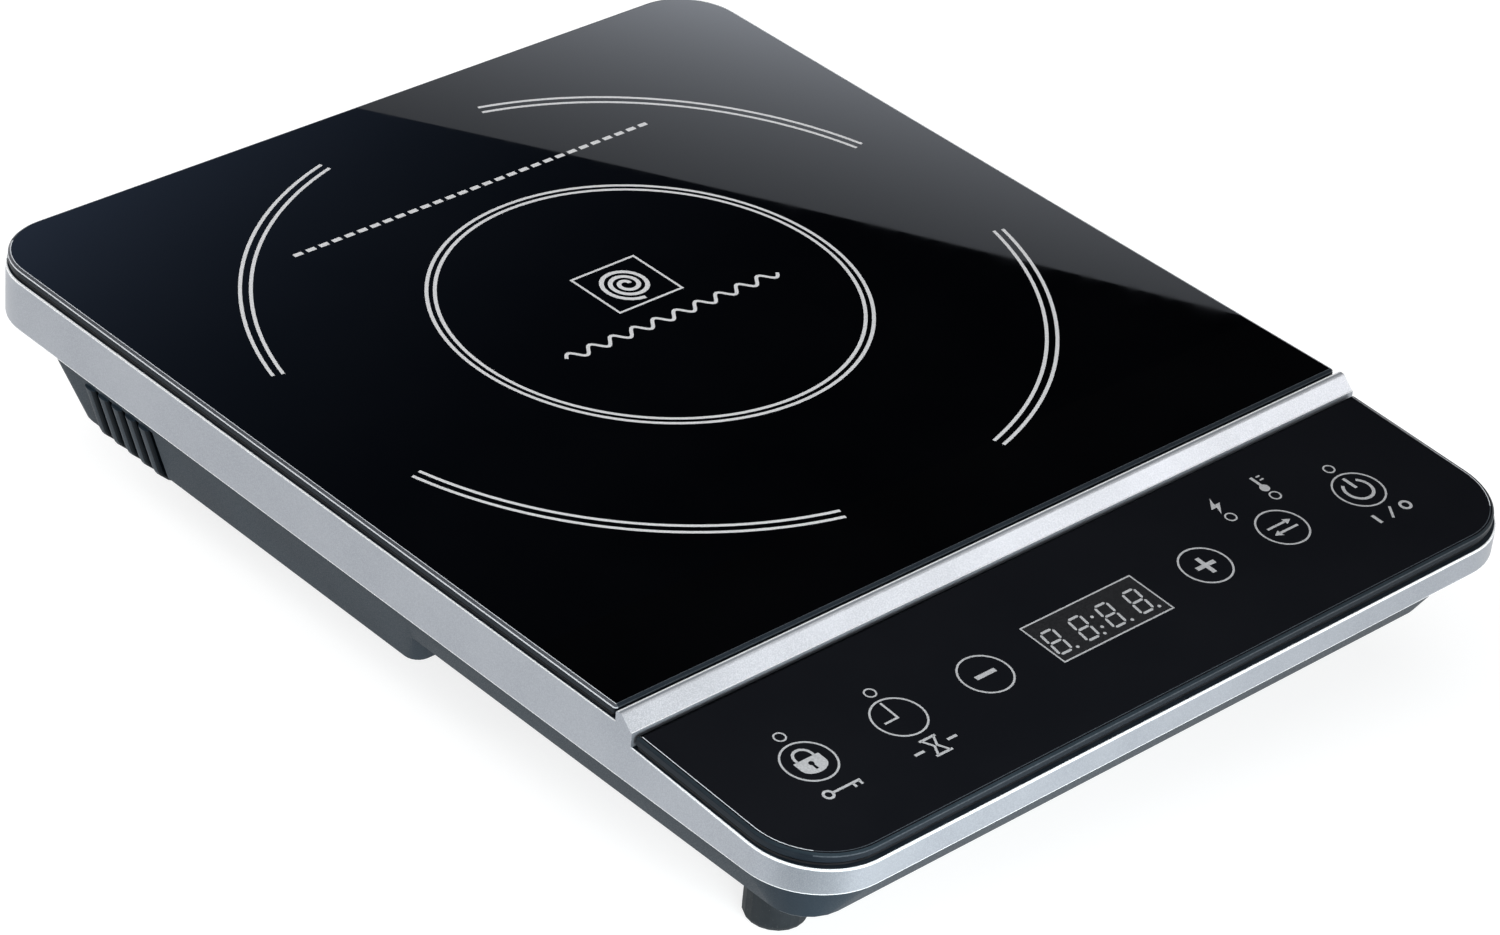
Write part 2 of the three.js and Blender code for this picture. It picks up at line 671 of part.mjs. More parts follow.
// ---------------------------------------------------------------- fan
function addFan() {
  const half = FAN_SIZE / 2;
  const frameShape = roundedShape(-half, half, -half, half, [4, 4, 4, 4]);
  const struts = [0, 1, 2, 3].map((i) =>
    block(10, FAN_BORE + 1, -2, 2, 0, 2).rotateZ(radians(45 + 90 * i)));
  const corner = half - 4.25;
  const holes = [[1, 1], [-1, 1], [-1, -1], [1, -1]].map(([sx, sy]) =>
    rod(sx * corner, sy * corner, -1, FAN_HEIGHT + 1, 2, 8));
  const walls = combine(prism(frameShape, 0, FAN_HEIGHT, 3), [], [
    rod(0, 0, -1, FAN_HEIGHT + 1, FAN_BORE, 28), ...holes,
  ]);
  const frame = combine(walls, [...struts, rod(0, 0, 0, 2, 15.5, 18), rod(0, 0, 1, 9.5, 3.6, 12)],
    [rod(0, 0, 1, 11, 1.62, 12)]);
  piece('fan_frame', frame, blackPlastic).position.set(FAN_X, FAN_Y, FAN_BASE);

  const poles = [0, 1, 2, 3].map((i) => block(3, 11.5, -3, 3, 3, 8.5).rotateZ(radians(90 * i)));
  const stator = combine(tube(4, 7.5, 3, 8.5, 14), poles, [rod(0, 0, 2, 10, 4, 14)]);
  piece('fan_stator', stator, copper).position.set(FAN_X, FAN_Y, FAN_BASE);

  const hub = turned([
    [14, 3], [15.8, 3], [15.8, 13.2], [14.8, 14.2], [1.7, 14.2], [1.7, 10.4],
    [4, 10.4], [4, 12.6], [14, 12.6], [14, 3],
  ], 18);
  const blades = [];
  for (let i = 0; i < BLADES; i += 1) {
    blades.push(fanBlade().rotateZ(2 * Math.PI * i / BLADES));
  }
  piece('fan_rotor', combine(hub, blades), blackPlastic).position.set(FAN_X, FAN_Y, FAN_BASE);
  const shaft = turned([[0, 1.6], [1.5, 1.6], [1.5, 13.8], [0, 13.8]], 12);
  piece('fan_shaft', shaft, steel).position.set(FAN_X, FAN_Y, FAN_BASE);
}

// One swept blade, lofted from the hub to its tip with a thin curved section that flattens outwards.
function fanBlade() {
  const rings = [];
  for (const [radius, chord, pitch, sweep] of [[15, 11, 44, 0], [25, 14, 34, 5], [36, 16, 27, 13]]) {
    const section = [[-0.5, 0], [0, 0.9], [0.5, 0.5], [0.5, -0.5], [0, -0.3], [-0.5, -1]];
    rings.push(section.map(([along, lift]) => {
      const across = along * chord * Math.cos(radians(pitch)) + lift * 0.6;
      const up = 8.4 + along * chord * Math.sin(radians(pitch)) + lift * 0.9;
      const angle = radians(sweep) + across / radius;
      return new THREE.Vector3(radius * Math.cos(angle), radius * Math.sin(angle), up);
    }));
  }
  return loft(rings);
}

// ---------------------------------------------------------------- power board and its parts
function addHeatSink() {
  const base = block(-14, 16, 24, 108, 30.8, 33.8);
  const fins = [];
  for (let i = 0; i < 14; i += 1) {
    const y = 25 + i * 6.3;
    fins.push(block(-14, 16, y - 0.7, y + 0.7, 33, 44));
  }
  piece('heat_sink', combine(base, fins), aluminium);
}

function addFilterChoke() {
  const choke = turned([
    [6, -5], [7.5, -6.5], [12.5, -6.5], [14, -5], [14, 5], [12.5, 6.5], [7.5, 6.5], [6, 5], [6, -5],
  ], 12);
  const mesh = piece('filter_choke', choke, copper);
  mesh.rotation.x = Math.PI / 2;
  mesh.position.set(-96, 96, PART_BASE + 14);
}

function addFuse() {
  const fuse = turned([
    [0, -11], [2.6, -11], [2.6, -6], [2.2, -5.6], [2.2, 5.6], [2.6, 6], [2.6, 11], [0, 11],
  ], 8);
  const mesh = piece('fuse', fuse, steel);
  mesh.rotation.y = Math.PI / 2;
  mesh.position.set(-56, 104, PART_BASE + 2.7);
}

function addTerminalBlock() {
  const ways = [-8, 0, 8];
  const holes = ways.map((x) => block(x - 2.2, x + 2.2, 2, 8, 3, 8));
  holes.push(...ways.map((x) => rod(x, -1, 7, 14, 2.2, 8)));
  const body = combine(block(-13, 13, -5.5, 5.5, 0, 12), [], holes);
  piece('terminal_block', body, whitePlastic).position.set(-30, 105, PART_BASE);
}

function addPowerBoard() {
  const holes = [[-110, 10], [10, 10], [-110, 104]].map(([x, y]) =>
    rod(x, y, BOARD_BOTTOM - 1, BOARD_TOP + 1, 1.6, 8));
  const plate = block(-116, 18, 3, 114, BOARD_BOTTOM, BOARD_TOP);
  piece('power_board', combine(plate, [], holes), board);
  addHeatSink();
  piece('power_transistor', block(-7, 9, 36, 57, PART_BASE, 30.5), blackPlastic);
  piece('bridge_rectifier', block(-9, 11, 76, 96, PART_BASE, 30.5), blackPlastic);
  piece('resonance_capacitor', block(-104, -62, 12, 32, PART_BASE, 43), filmCase);
  piece('dc_link_capacitor', block(-104, -72, 40, 57, PART_BASE, 42), filmCase);
  piece('interference_capacitor', block(-104, -78, 64, 76, PART_BASE, 40), filmCase);
  const can = turned([
    [0, 0], [7.6, 0], [8, 0.5], [8, 2.4], [7.5, 3], [8, 3.6], [8, 15.6], [7.4, 16.2], [0, 16.2],
  ], 12);
  piece('electrolytic_capacitor', can, blackPlastic).position.set(-32, 24, PART_BASE);
  addFilterChoke();
  const core = block(-60, -36, 56, 74, PART_BASE, 42);
  piece('current_transformer', combine(core, [], [
    block(-55, -51, 50, 80, 30, 38), block(-45, -41, 50, 80, 30, 38),
  ]), ferrite);
  addFuse();
  addTerminalBlock();
}

// ---------------------------------------------------------------- controls
function addControls() {
  const { top, thickness, left, right, front, rear } = CONTROL_BOARD;
  piece('control_board', block(left, right, front, rear, top - thickness, top), greenBoard, deck);
  const display = combine(block(-23.5, 20.5, -42, -24, top + GAP, -GLASS_THICKNESS - GAP), [], [
    block(-22, 19, -40.5, -25.5, -GLASS_THICKNESS - 1.3, 0),
  ]);
  piece('display_module', display, whitePlastic, deck);
  const wire = 0.45;
  for (const [name, x] of Object.entries(KEYS)) {
    const spring = winding({
      x,
      y: KEY_ROW - DECK_REAR,
      turns: 3,
      startRadius: 4,
      endRadius: 4,
      startZ: top + GAP + wire,
      endZ: -GLASS_THICKNESS - GAP - wire,
      section: [[-wire, 0], [0, -wire], [wire, 0], [0, wire]],
      stepsPerTurn: 7,
    });
    piece(`touch_spring_${name}`, spring, steel, deck);
  }
  for (const [name, x] of Object.entries(LAMPS)) {
    const lamp = turned([
      [0, 0], [1.9, 0], [1.9, 0.8], [1.5, 0.8], [1.5, 3], [1.1, 4], [0, 4.5],
    ], 8);
    piece(`lamp_${name}`, lamp, lampRed, deck).position.set(x, LAMP_ROW - DECK_REAR, top + GAP);
  }
}

function addWiring() {
  const ribbonShape = new THREE.Shape([
    new THREE.Vector2(-7, -0.5), new THREE.Vector2(7, -0.5),
    new THREE.Vector2(7, 0.5), new THREE.Vector2(-7, 0.5),
  ]);
  const path = new THREE.CatmullRomCurve3([
    new THREE.Vector3(-52, 14, PART_BASE + 1),
    new THREE.Vector3(-52, 2, PART_BASE + 4),
    new THREE.Vector3(-52, -22, 38),
    new THREE.Vector3(-52, -60, 39),
    new THREE.Vector3(-52, -100, 38.5),
    new THREE.Vector3(-52, -128, 38.5),
  ]);
  const ribbon = new THREE.ExtrudeGeometry(ribbonShape, { steps: 12, extrudePath: path });
  piece('ribbon_cable', ribbon, wireJacket);

  const outer = lead([
    [97, 41, 56], [99.5, 40, 50], [96, 30, 44.6], [70, 6, 41], [40, 2, 38], [28, 10, 32], [24, 12, 30],
  ], 1.5, 14);
  piece('coil_lead_outer', outer, wireJacket);
  const inner = lead([
    [22, 28, 55.4], [22, 28, 49], [21, 22, 45.6], [-10, 4, 40], [-20, 6, 32], [-21, 8, 27.6],
  ], 1.5, 12);
  piece('coil_lead_inner', inner, wireJacket);
}

addCookingGlass();
addControlGlass();
addTopFrame();
addLowerCasing();
addFeet();
addScrews();
addCordGland();
addCoil();
addFan();
addPowerBoard();
addControls();
addWiring();

export default cooktop;
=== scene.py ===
"""Looks of a portable induction cooktop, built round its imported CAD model. Sizes on the object are in
millimetres and become metres through MM; the camera, the lights and the room are in metres. -Y is
the front, the control side, and angles are in degrees."""

import json
import math

import bmesh
import bpy
from mathutils import Matrix, Vector


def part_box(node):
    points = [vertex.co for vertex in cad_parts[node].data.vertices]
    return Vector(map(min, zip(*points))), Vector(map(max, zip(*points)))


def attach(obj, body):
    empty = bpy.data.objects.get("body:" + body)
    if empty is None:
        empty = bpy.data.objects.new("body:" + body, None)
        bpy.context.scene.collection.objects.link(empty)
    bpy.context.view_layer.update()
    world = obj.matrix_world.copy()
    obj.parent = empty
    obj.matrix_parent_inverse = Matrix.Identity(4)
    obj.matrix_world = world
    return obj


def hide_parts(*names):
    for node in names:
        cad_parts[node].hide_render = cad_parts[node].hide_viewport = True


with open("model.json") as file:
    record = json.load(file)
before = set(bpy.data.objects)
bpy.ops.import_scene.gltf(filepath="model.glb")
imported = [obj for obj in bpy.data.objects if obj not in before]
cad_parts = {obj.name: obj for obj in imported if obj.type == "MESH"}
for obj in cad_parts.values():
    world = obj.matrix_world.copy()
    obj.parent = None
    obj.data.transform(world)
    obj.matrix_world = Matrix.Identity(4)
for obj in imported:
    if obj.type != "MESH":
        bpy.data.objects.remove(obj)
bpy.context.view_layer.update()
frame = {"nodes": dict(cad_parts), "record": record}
NODES = frame["nodes"]

MM = 0.001
HOUSING = "housing"

# ------------------------------------------------------------------ driving dimensions
GLASS_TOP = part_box("cooktop_glass")[1].z / MM
HALF_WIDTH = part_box("top_frame")[1].x / MM
DECK_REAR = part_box("control_glass")[1].y / MM
BAR_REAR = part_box("cooktop_glass")[0].y / MM
# The control glass falls towards the front from this line at its rear.
DECK_ORIGIN_Y = -109.9
DECK_HEIGHT = 58.5
DECK_SLOPE = 0.0547
DECK_TILT = math.atan(DECK_SLOPE)
# The louvre ribs stand out past this distance from the middle, between these depths.
CASING_SIDE = 118
LOUVRES = (95, 132)
# Ink stands this far over the glass and reaches as far into it.
INK = 0.02
# Edges sharper than this stay crisp or are rounded.
EDGE_ANGLE = 25

# The prints' places: circles by radius, keys and lamps by centre, the display by its left, right,
# front and rear sides.
ZONE_CENTRE_Y = 41
ZONE_RINGS = (62.7, 65.1)
ZONE_LINE = 1.1
ARC_RADII = (115.6, 118.7)
ARC_SPANS = ((15, 75), (105, 165), (195, 255), (285, 345))
KEY_ROW = -142.8
LAMP_ROW = -131.3
KEY_X = {"lock": -108.7, "timer": -76.5, "minus": -44.5, "plus": 41.3, "mode": 72.9, "power": 105.1}
LAMP_X = {"lock": -108.4, "timer": -76.0, "watts": 63.9, "heat": 82.4, "on": 105.1}
DISPLAY = (-22.8, 19.6, -151.1, -134.2)


# ------------------------------------------------------------------ camera
LENS = 117.8
SENSOR_WIDTH = 36
FAR_CLIP = 50
# Where the eye is, and which way its picture's right and top sides point.
EYE = (-0.84828, -0.82833, 0.81063)
EYE_RIGHT = (0.73279, -0.67517, 0.08488)
EYE_UP = (0.32287, 0.45477, 0.83003)


def add_camera():
    """The eye stands in front, to the left and above, with a slight roll."""
    camera = bpy.data.objects.new("camera", bpy.data.cameras.new("camera"))
    camera.data.lens = LENS
    camera.data.sensor_width = SENSOR_WIDTH
    camera.data.clip_end = FAR_CLIP
    right = Vector(EYE_RIGHT)
    up = Vector(EYE_UP)
    back = right.cross(up)
    rotation = Matrix((right, up, back)).transposed().to_4x4()
    camera.matrix_world = Matrix.Translation(EYE) @ rotation
    bpy.context.scene.collection.objects.link(camera)
    bpy.context.scene.camera = camera


# ------------------------------------------------------------------ mesh helpers
# The weighted normal modifier's top weight, at which the largest face decides.
LARGE_FACES_ONLY = 100


def link_piece(name, mesh, materials):
    """A new piece of the object that rides on the housing."""
    piece = bpy.data.objects.new(name, mesh)
    bpy.context.scene.collection.objects.link(piece)
    for material in materials:
        mesh.materials.append(material)
    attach(piece, HOUSING)
    return piece


def soften(bm):
    """Smooth shading that stays crisp over sharp edges."""
    for face in bm.faces:
        face.smooth = True
    for edge in bm.edges:
        edge.smooth = len(edge.link_faces) == 2 and edge.calc_face_angle(0) < math.radians(EDGE_ANGLE)


def frame_mesh(node, merge=0.002, flatness=0.6):
    """A CAD node's shape as an editable copy, with its flat faces whole again. Vertices closer than
    merge millimetres become one, and faces within flatness degrees of each other are joined."""
    bm = bmesh.new()
    bm.from_mesh(NODES[node].data)
    for face in bm.faces:
        face.material_index = 0
    bmesh.ops.remove_doubles(bm, verts=bm.verts, dist=merge * MM)
    bmesh.ops.dissolve_limit(bm, angle_limit=math.radians(flatness), verts=bm.verts, edges=bm.edges)
    return bm


def round_edges(bm, chosen, width, segments, slot=-1, clamp=True):
    """The chosen sharp edges become rounded strips, width millimetres from each side."""
    edges = [edge for edge in bm.edges
             if len(edge.link_faces) == 2 and edge.calc_face_angle(0) > math.radians(EDGE_ANGLE)
             and chosen(edge)]
    bmesh.ops.bevel(bm, geom=edges, offset=width * MM, segments=segments, profile=0.5,
                    affect="EDGES", clamp_overlap=clamp, material=slot)


def even_shading(piece):
    """Large flat faces keep their true direction, and only the small rounded ones shade as curves."""
    weighting = piece.modifiers.new("even_shading", "WEIGHTED_NORMAL")
    weighting.keep_sharp = True
    weighting.weight = LARGE_FACES_ONLY


def finish_mesh(bm, name):
    """The editable shape as a mesh that a piece can use."""
    soften(bm)
    mesh = bpy.data.meshes.new(name)
    bm.to_mesh(mesh)
    bm.free()
    return mesh


# ------------------------------------------------------------------ material helpers
# The wave texture's scale at which its bands repeat once a unit.
BAND_PITCH = 0.314
# The mix node's sockets for colours have the same names as its others, so they go by number.
MIX_COLOURS = (6, 7)
MIX_RESULT = 2
# Pointiness of inside corners, of flat faces between two values, and of raised edges.
DEEP_POINTINESS = 0.42
FLAT_POINTINESS = (0.49, 0.51)
RAISED_POINTINESS = 0.56


class Look:
    """A procedural material: a principled shader and the nodes that feed it."""

    def __init__(self, name, roughness=0.5, metallic=0.0, specular=0.5):
        self.material = bpy.data.materials.new(name)
        self.material.use_nodes = True
        self.nodes = self.material.node_tree.nodes
        self.links = self.material.node_tree.links
        self.shader = self.nodes["Principled BSDF"]
        self.shader.inputs["Roughness"].default_value = roughness
        self.shader.inputs["Metallic"].default_value = metallic
        self.shader.inputs["Specular IOR Level"].default_value = specular
        place = self.nodes.new("ShaderNodeTexCoord")
        self.place = place.outputs["Object"]
        self.last_bump = None

    def stretched(self, x, y, z):
        """The place, scaled by a factor along each axis."""
        mapping = self.nodes.new("ShaderNodeMapping")
        mapping.inputs["Scale"].default_value = (x, y, z)
        self.links.new(self.place, mapping.inputs["Vector"])
        return mapping.outputs["Vector"]

    def noise(self, size, detail=3.0, place=None):
        """Noise whose features are about size millimetres across."""
        node = self.nodes.new("ShaderNodeTexNoise")
        node.inputs["Scale"].default_value = 1 / (size * MM)
        node.inputs["Detail"].default_value = detail
        self.links.new(place or self.place, node.inputs["Vector"])
        return node.outputs["Fac"]

    def cells(self, size):
        """Irregular cells about size millimetres across."""
        node = self.nodes.new("ShaderNodeTexVoronoi")
        node.inputs["Scale"].default_value = 1 / (size * MM)
        self.links.new(self.place, node.inputs["Vector"])
        return node.outputs["Distance"]

    def bands(self, size, direction="X", distortion=0.0):
        """Waves that repeat about every size millimetres."""
        node = self.nodes.new("ShaderNodeTexWave")
        node.bands_direction = direction
        node.inputs["Scale"].default_value = BAND_PITCH / (size * MM)
        node.inputs["Distortion"].default_value = distortion
        self.links.new(self.place, node.inputs["Vector"])
        return node.outputs["Fac"]

    def spread(self, value, low, high, start=0.35, end=0.65):
        """The value's middle range stretched to run from low to high."""
        node = self.nodes.new("ShaderNodeMapRange")
        node.inputs["From Min"].default_value = start
        node.inputs["From Max"].default_value = end
        node.inputs["To Min"].default_value = low
        node.inputs["To Max"].default_value = high
        self.links.new(value, node.inputs["Value"])
        return node.outputs["Result"]

    def blend(self, factor, first, second):
        """A colour between two colours; either may be a socket."""
        node = self.nodes.new("ShaderNodeMix")
        node.data_type = "RGBA"
        self.links.new(factor, node.inputs["Factor"])
        for index, colour in zip(MIX_COLOURS, (first, second)):
            if isinstance(colour, tuple):
                node.inputs[index].default_value = (*colour, 1)
            else:
                self.links.new(colour, node.inputs[index])
        return node.outputs[MIX_RESULT]

    def paint(self, colour):
        """The base colour, from a socket."""
        self.links.new(colour, self.shader.inputs["Base Color"])

    def roughen(self, value):
        """The roughness, from a socket."""
        self.links.new(value, self.shader.inputs["Roughness"])

    def bump(self, height, depth):
        """Relief of about depth millimetres, on top of any bump already there."""
        node = self.nodes.new("ShaderNodeBump")
        node.inputs["Strength"].default_value = 1.0
        node.inputs["Distance"].default_value = depth * MM
        self.links.new(height, node.inputs["Height"])
        if self.last_bump:
            self.links.new(self.last_bump, node.inputs["Normal"])
        self.last_bump = node.outputs["Normal"]
        self.links.new(self.last_bump, self.shader.inputs["Normal"])

    def pointiness(self):
        """How far the shape sticks out at each place; a flat face is near one half."""
        return self.nodes.new("ShaderNodeNewGeometry").outputs["Pointiness"]

    def edge_wear(self, colour, worn, amount):
        """The colour, turning to the worn one along raised edges."""
        raised = self.spread(self.pointiness(), 0.0, amount, start=FLAT_POINTINESS[1], end=RAISED_POINTINESS)
        return self.blend(raised, colour, worn)

    def hollow_shade(self, colour, shade_colour, amount=0.8):
        """The colour, turning to a painted shade colour along inside corners, where shade falls."""
        sunk = self.spread(self.pointiness(), amount, 0.0, start=DEEP_POINTINESS, end=FLAT_POINTINESS[0])
        return self.blend(sunk, colour, shade_colour)


def mottled(name, dark, light, size=4.0, grain=0.4, depth=0.02, roughness=(0.4, 0.55)):
    """A plain moulded or cast surface: cloudy colour, fine grain and uneven gloss."""
    look = Look(name)
    cloud = look.noise(size, 5)
    look.paint(look.blend(look.spread(cloud, 0, 1), dark, light))
    fine = look.noise(grain, 2)
    look.roughen(look.spread(fine, *roughness))
    look.bump(fine, depth)
    return look.material


# ------------------------------------------------------------------ outer materials
def cooking_glass_look():
    """Polished black glass-ceramic, with faint clouding in its gloss."""
    look = Look("cooking_glass_face")
    cloud = look.noise(60, 4)
    look.paint(look.blend(look.spread(cloud, 0, 1), (0.0006, 0.0007, 0.0010), (0.0011, 0.0012, 0.0016)))
    look.roughen(look.spread(look.noise(9, 6), 0.012, 0.03))
    return look.material


def control_glass_look():
    """The same glass with a charcoal backing print behind it."""
    look = Look("control_glass_face", specular=0.2)
    cloud = look.noise(45, 4)
    look.paint(look.blend(look.spread(cloud, 0, 1), (0.0055, 0.0060, 0.0078), (0.0066, 0.0071, 0.0090)))
    look.roughen(look.spread(look.noise(8, 6), 0.02, 0.05))
    return look.material


def chamfer_look(name, dark, light, roughness, specular=0.5):
    """The chamfer of a glass plate, with the fine scratches of the grinding wheel along it."""
    look = Look(name, specular=specular)
    streaks = look.noise(0.5, 3, look.stretched(0.08, 0.08, 1.6))
    look.paint(look.blend(look.spread(streaks, 0, 1), dark, light))
    scratched = roughness + 0.12
    look.roughen(look.spread(streaks, roughness, scratched))
    look.bump(streaks, 0.003)
    return look.material


def edge_highlight_look(name, dark, light, specular):
    """A line along a chamfer's edge: painted highlight where it is light, painted shade where it is dark."""
    look = Look(name, specular=specular)
    fine = look.noise(0.6, 3)
    look.paint(look.blend(look.spread(fine, 0, 1), dark, light))
    look.roughen(look.spread(fine, 0.34, 0.42))
    return look.material


def satin_silver_look(name, dark, light, sparkle):
    """Silver lacquer with a fine metallic grain."""
    look = Look(name, metallic=0.55)
    grain = look.noise(0.30, 3)
    cloud = look.noise(30, 3)
    base = look.blend(look.spread(cloud, 0, 1), dark, light)
    look.paint(look.blend(look.spread(grain, 0, 0.4, start=0.42, end=0.66), base, sparkle))
    look.roughen(look.spread(grain, 0.34, 0.46))
    look.bump(grain, 0.018)
    return look.material


def lip_highlight_look():
    """The frame's rounded edges, painted brighter than its faces as a highlight."""
    look = Look("lip_painted_highlight", metallic=0.25)
    grain = look.noise(0.3, 2)
    look.paint(look.blend(look.spread(grain, 0, 1), (0.86, 0.88, 0.90), (0.95, 0.96, 0.97)))
    look.roughen(look.spread(grain, 0.22, 0.34))
    return look.material


def casing_look(name, dark, light, specular):
    """Dark slate ABS with a spark-eroded texture, paler on its edges and with painted shade in its corners.
    """
    look = Look(name, specular=specular)
    look.shader.inputs["Specular Tint"].default_value = (0.58, 0.80, 1.0, 1)
    cloud = look.noise(22, 4)
    base = look.blend(look.spread(cloud, 0, 1), dark, light)
    # Painted shade: inside corners darken towards near black.
    base = look.hollow_shade(base, (0.0010, 0.0012, 0.0015))
    look.paint(look.edge_wear(base, (0.050, 0.058, 0.066), 0.2))
    texture = look.noise(0.35, 2)
    look.roughen(look.spread(texture, 0.42, 0.58))
    look.bump(texture, 0.03)
    look.bump(cloud, 0.02)
    return look.material


def rubber_look():
    """Black rubber with a dull bloom and specks of dust."""
    look = Look("foot_rubber", specular=0.2)
    look.shader.inputs["Specular Tint"].default_value = (0.80, 0.93, 1.0, 1)
    bloom = look.noise(5, 5)
    base = look.blend(look.spread(bloom, 0, 1), (0.015, 0.018, 0.021), (0.024, 0.028, 0.032))
    specks = look.spread(look.noise(0.5, 1), 0, 0.5, start=0.68, end=0.74)
    look.paint(look.blend(specks, base, (0.09, 0.09, 0.09)))
    look.roughen(look.spread(bloom, 0.5, 0.7))
    look.bump(look.noise(0.4, 2), 0.03)
    return look.material


def ink_look(name, dark, light):
    """Light grey screen-printed ink, slightly uneven in cover."""
    look = Look(name, specular=0.4)
    cover = look.noise(0.5, 3)
    blue = 0.01
    thin, thick = (dark, dark, dark + blue), (light, light, light + blue)
    look.paint(look.blend(look.spread(cover, 0, 1), thin, thick))
    look.roughen(look.spread(cover, 0.3, 0.45))
    look.bump(cover, 0.005)
    return look.material


def display_window_look():
    """The smoked window over the digits, with a faint dotted diffuser behind it."""
    look = Look("display_window")
    dots = look.spread(look.cells(0.45), 0, 1, start=0.2, end=0.6)
    look.paint(look.blend(dots, (0.0105, 0.0108, 0.0118), (0.020, 0.020, 0.022)))
    look.roughen(look.spread(look.noise(3, 2), 0.12, 0.2))
    return look.material


# ------------------------------------------------------------------ inner materials
def copper_look():
    """Lacquered stranded wire, laid in rings."""
    look = Look("coil_copper", metallic=0.85)
    strands = look.noise(0.5, 2, look.stretched(1.0, 1.0, 3.0))
    cloud = look.noise(14, 3)
    base = look.blend(look.spread(cloud, 0, 1), (0.56, 0.25, 0.12), (0.72, 0.36, 0.19))
    look.paint(look.blend(look.spread(strands, 0, 0.5), base, (0.30, 0.12, 0.06)))
    look.roughen(look.spread(strands, 0.25, 0.42))
    look.bump(strands, 0.12)
    return look.material


def steel_look():
    """Bright zinc plating with turning marks."""
    look = Look("zinc_steel", metallic=1.0)
    turning = look.bands(0.25, "Z", distortion=1.5)
    look.paint(look.blend(look.spread(look.noise(3, 3), 0, 1), (0.48, 0.49, 0.50), (0.63, 0.64, 0.66)))
    look.roughen(look.spread(turning, 0.22, 0.36, start=0, end=1))
    look.bump(turning, 0.01)
    return look.material


def heat_sink_look():
    """Plain extruded aluminium, with the die's fine lines along it."""
    look = Look("extruded_aluminium", metallic=1.0)
    lines = look.noise(0.35, 3, look.stretched(0.05, 1.0, 1.0))
    look.paint(look.blend(look.spread(lines, 0, 1), (0.58, 0.59, 0.60), (0.72, 0.73, 0.74)))
    look.roughen(look.spread(lines, 0.28, 0.42))
    look.bump(lines, 0.02)
    return look.material


def ferrite_look():
    """Pressed and fired ferrite: dark grey, dull and speckled."""
    look = Look("ferrite")
    speckle = look.cells(0.8)
    tone = look.spread(speckle, 0, 1, start=0.1, end=0.6)
    look.paint(look.blend(tone, (0.045, 0.045, 0.05), (0.085, 0.085, 0.09)))
    look.roughen(look.spread(speckle, 0.55, 0.75, start=0.1, end=0.6))
    look.bump(speckle, 0.03)
    return look.material


def mica_look():
    """Pressed mica: pale flakes with bright facets."""
    look = Look("mica")
    flakes = look.cells(3.5)
    tone = look.spread(flakes, 0, 1, start=0.05, end=0.6)
    look.paint(look.blend(tone, (0.66, 0.58, 0.42), (0.50, 0.41, 0.27)))
    look.roughen(look.spread(flakes, 0.3, 0.6, start=0.05, end=0.6))
    look.bump(flakes, 0.04)
    return look.material


def board_look(name, lacquer, track, size):
    """A circuit board: lacquer over raised copper tracks."""
    look = Look(name)
    tracks = look.spread(look.bands(size, "X", distortion=6.0), 0, 1, start=0.45, end=0.55)
    look.paint(look.blend(tracks, lacquer, track))
    look.roughen(look.spread(look.noise(2, 3), 0.3, 0.45))
    look.bump(tracks, 0.04)
    return look.material


OUTER = {
    "face": cooking_glass_look(),
    "control_face": control_glass_look(),
    "chamfer": chamfer_look("glass_chamfer", dark=(0.048, 0.051, 0.060), light=(0.056, 0.060, 0.070),
                            roughness=0.3),
    "control_chamfer": chamfer_look("control_chamfer", dark=(0.012, 0.018, 0.023),
                                    light=(0.017, 0.024, 0.030), roughness=0.4, specular=0.1),
    "side": chamfer_look("glass_side", dark=(0.009, 0.013, 0.018), light=(0.014, 0.019, 0.025),
                         roughness=0.4, specular=0.1),
    "highlight_line": edge_highlight_look("cut_line_painted_highlight", dark=(0.52, 0.54, 0.57),
                                      light=(0.60, 0.62, 0.65), specular=0.5),
    "shaded_line": edge_highlight_look("cut_line_painted_shade", dark=(0.035, 0.042, 0.050),
                                    light=(0.055, 0.064, 0.074), specular=0.2),
    "silver": satin_silver_look("satin_silver", dark=(0.285, 0.305, 0.34), light=(0.32, 0.34, 0.375),
                                sparkle=(0.52, 0.54, 0.58)),
    # Painted highlight: a brighter copy of the satin silver for the faces that lean forwards and up.
    "bar": satin_silver_look("bar_silver_lit", dark=(0.40, 0.41, 0.44), light=(0.46, 0.47, 0.505),
                             sparkle=(0.90, 0.90, 0.93)),
    "lip": lip_highlight_look(),
    "casing": casing_look("casing_plastic", dark=(0.010, 0.018, 0.027), light=(0.014, 0.024, 0.034),
                          specular=0.13),
    # Painted shade: a darker copy of the casing plastic for the louvre ribs' front-facing sides.
    "shade": casing_look("louvre_shade", dark=(0.0015, 0.0028, 0.0045), light=(0.0025, 0.0042, 0.0062),
                         specular=0.03),
    "rubber": rubber_look(),
    "ink": ink_look("cooking_ink", dark=0.55, light=0.70),
    "deck_ink": ink_look("control_ink", dark=0.34, light=0.45),
    "window": display_window_look(),
}
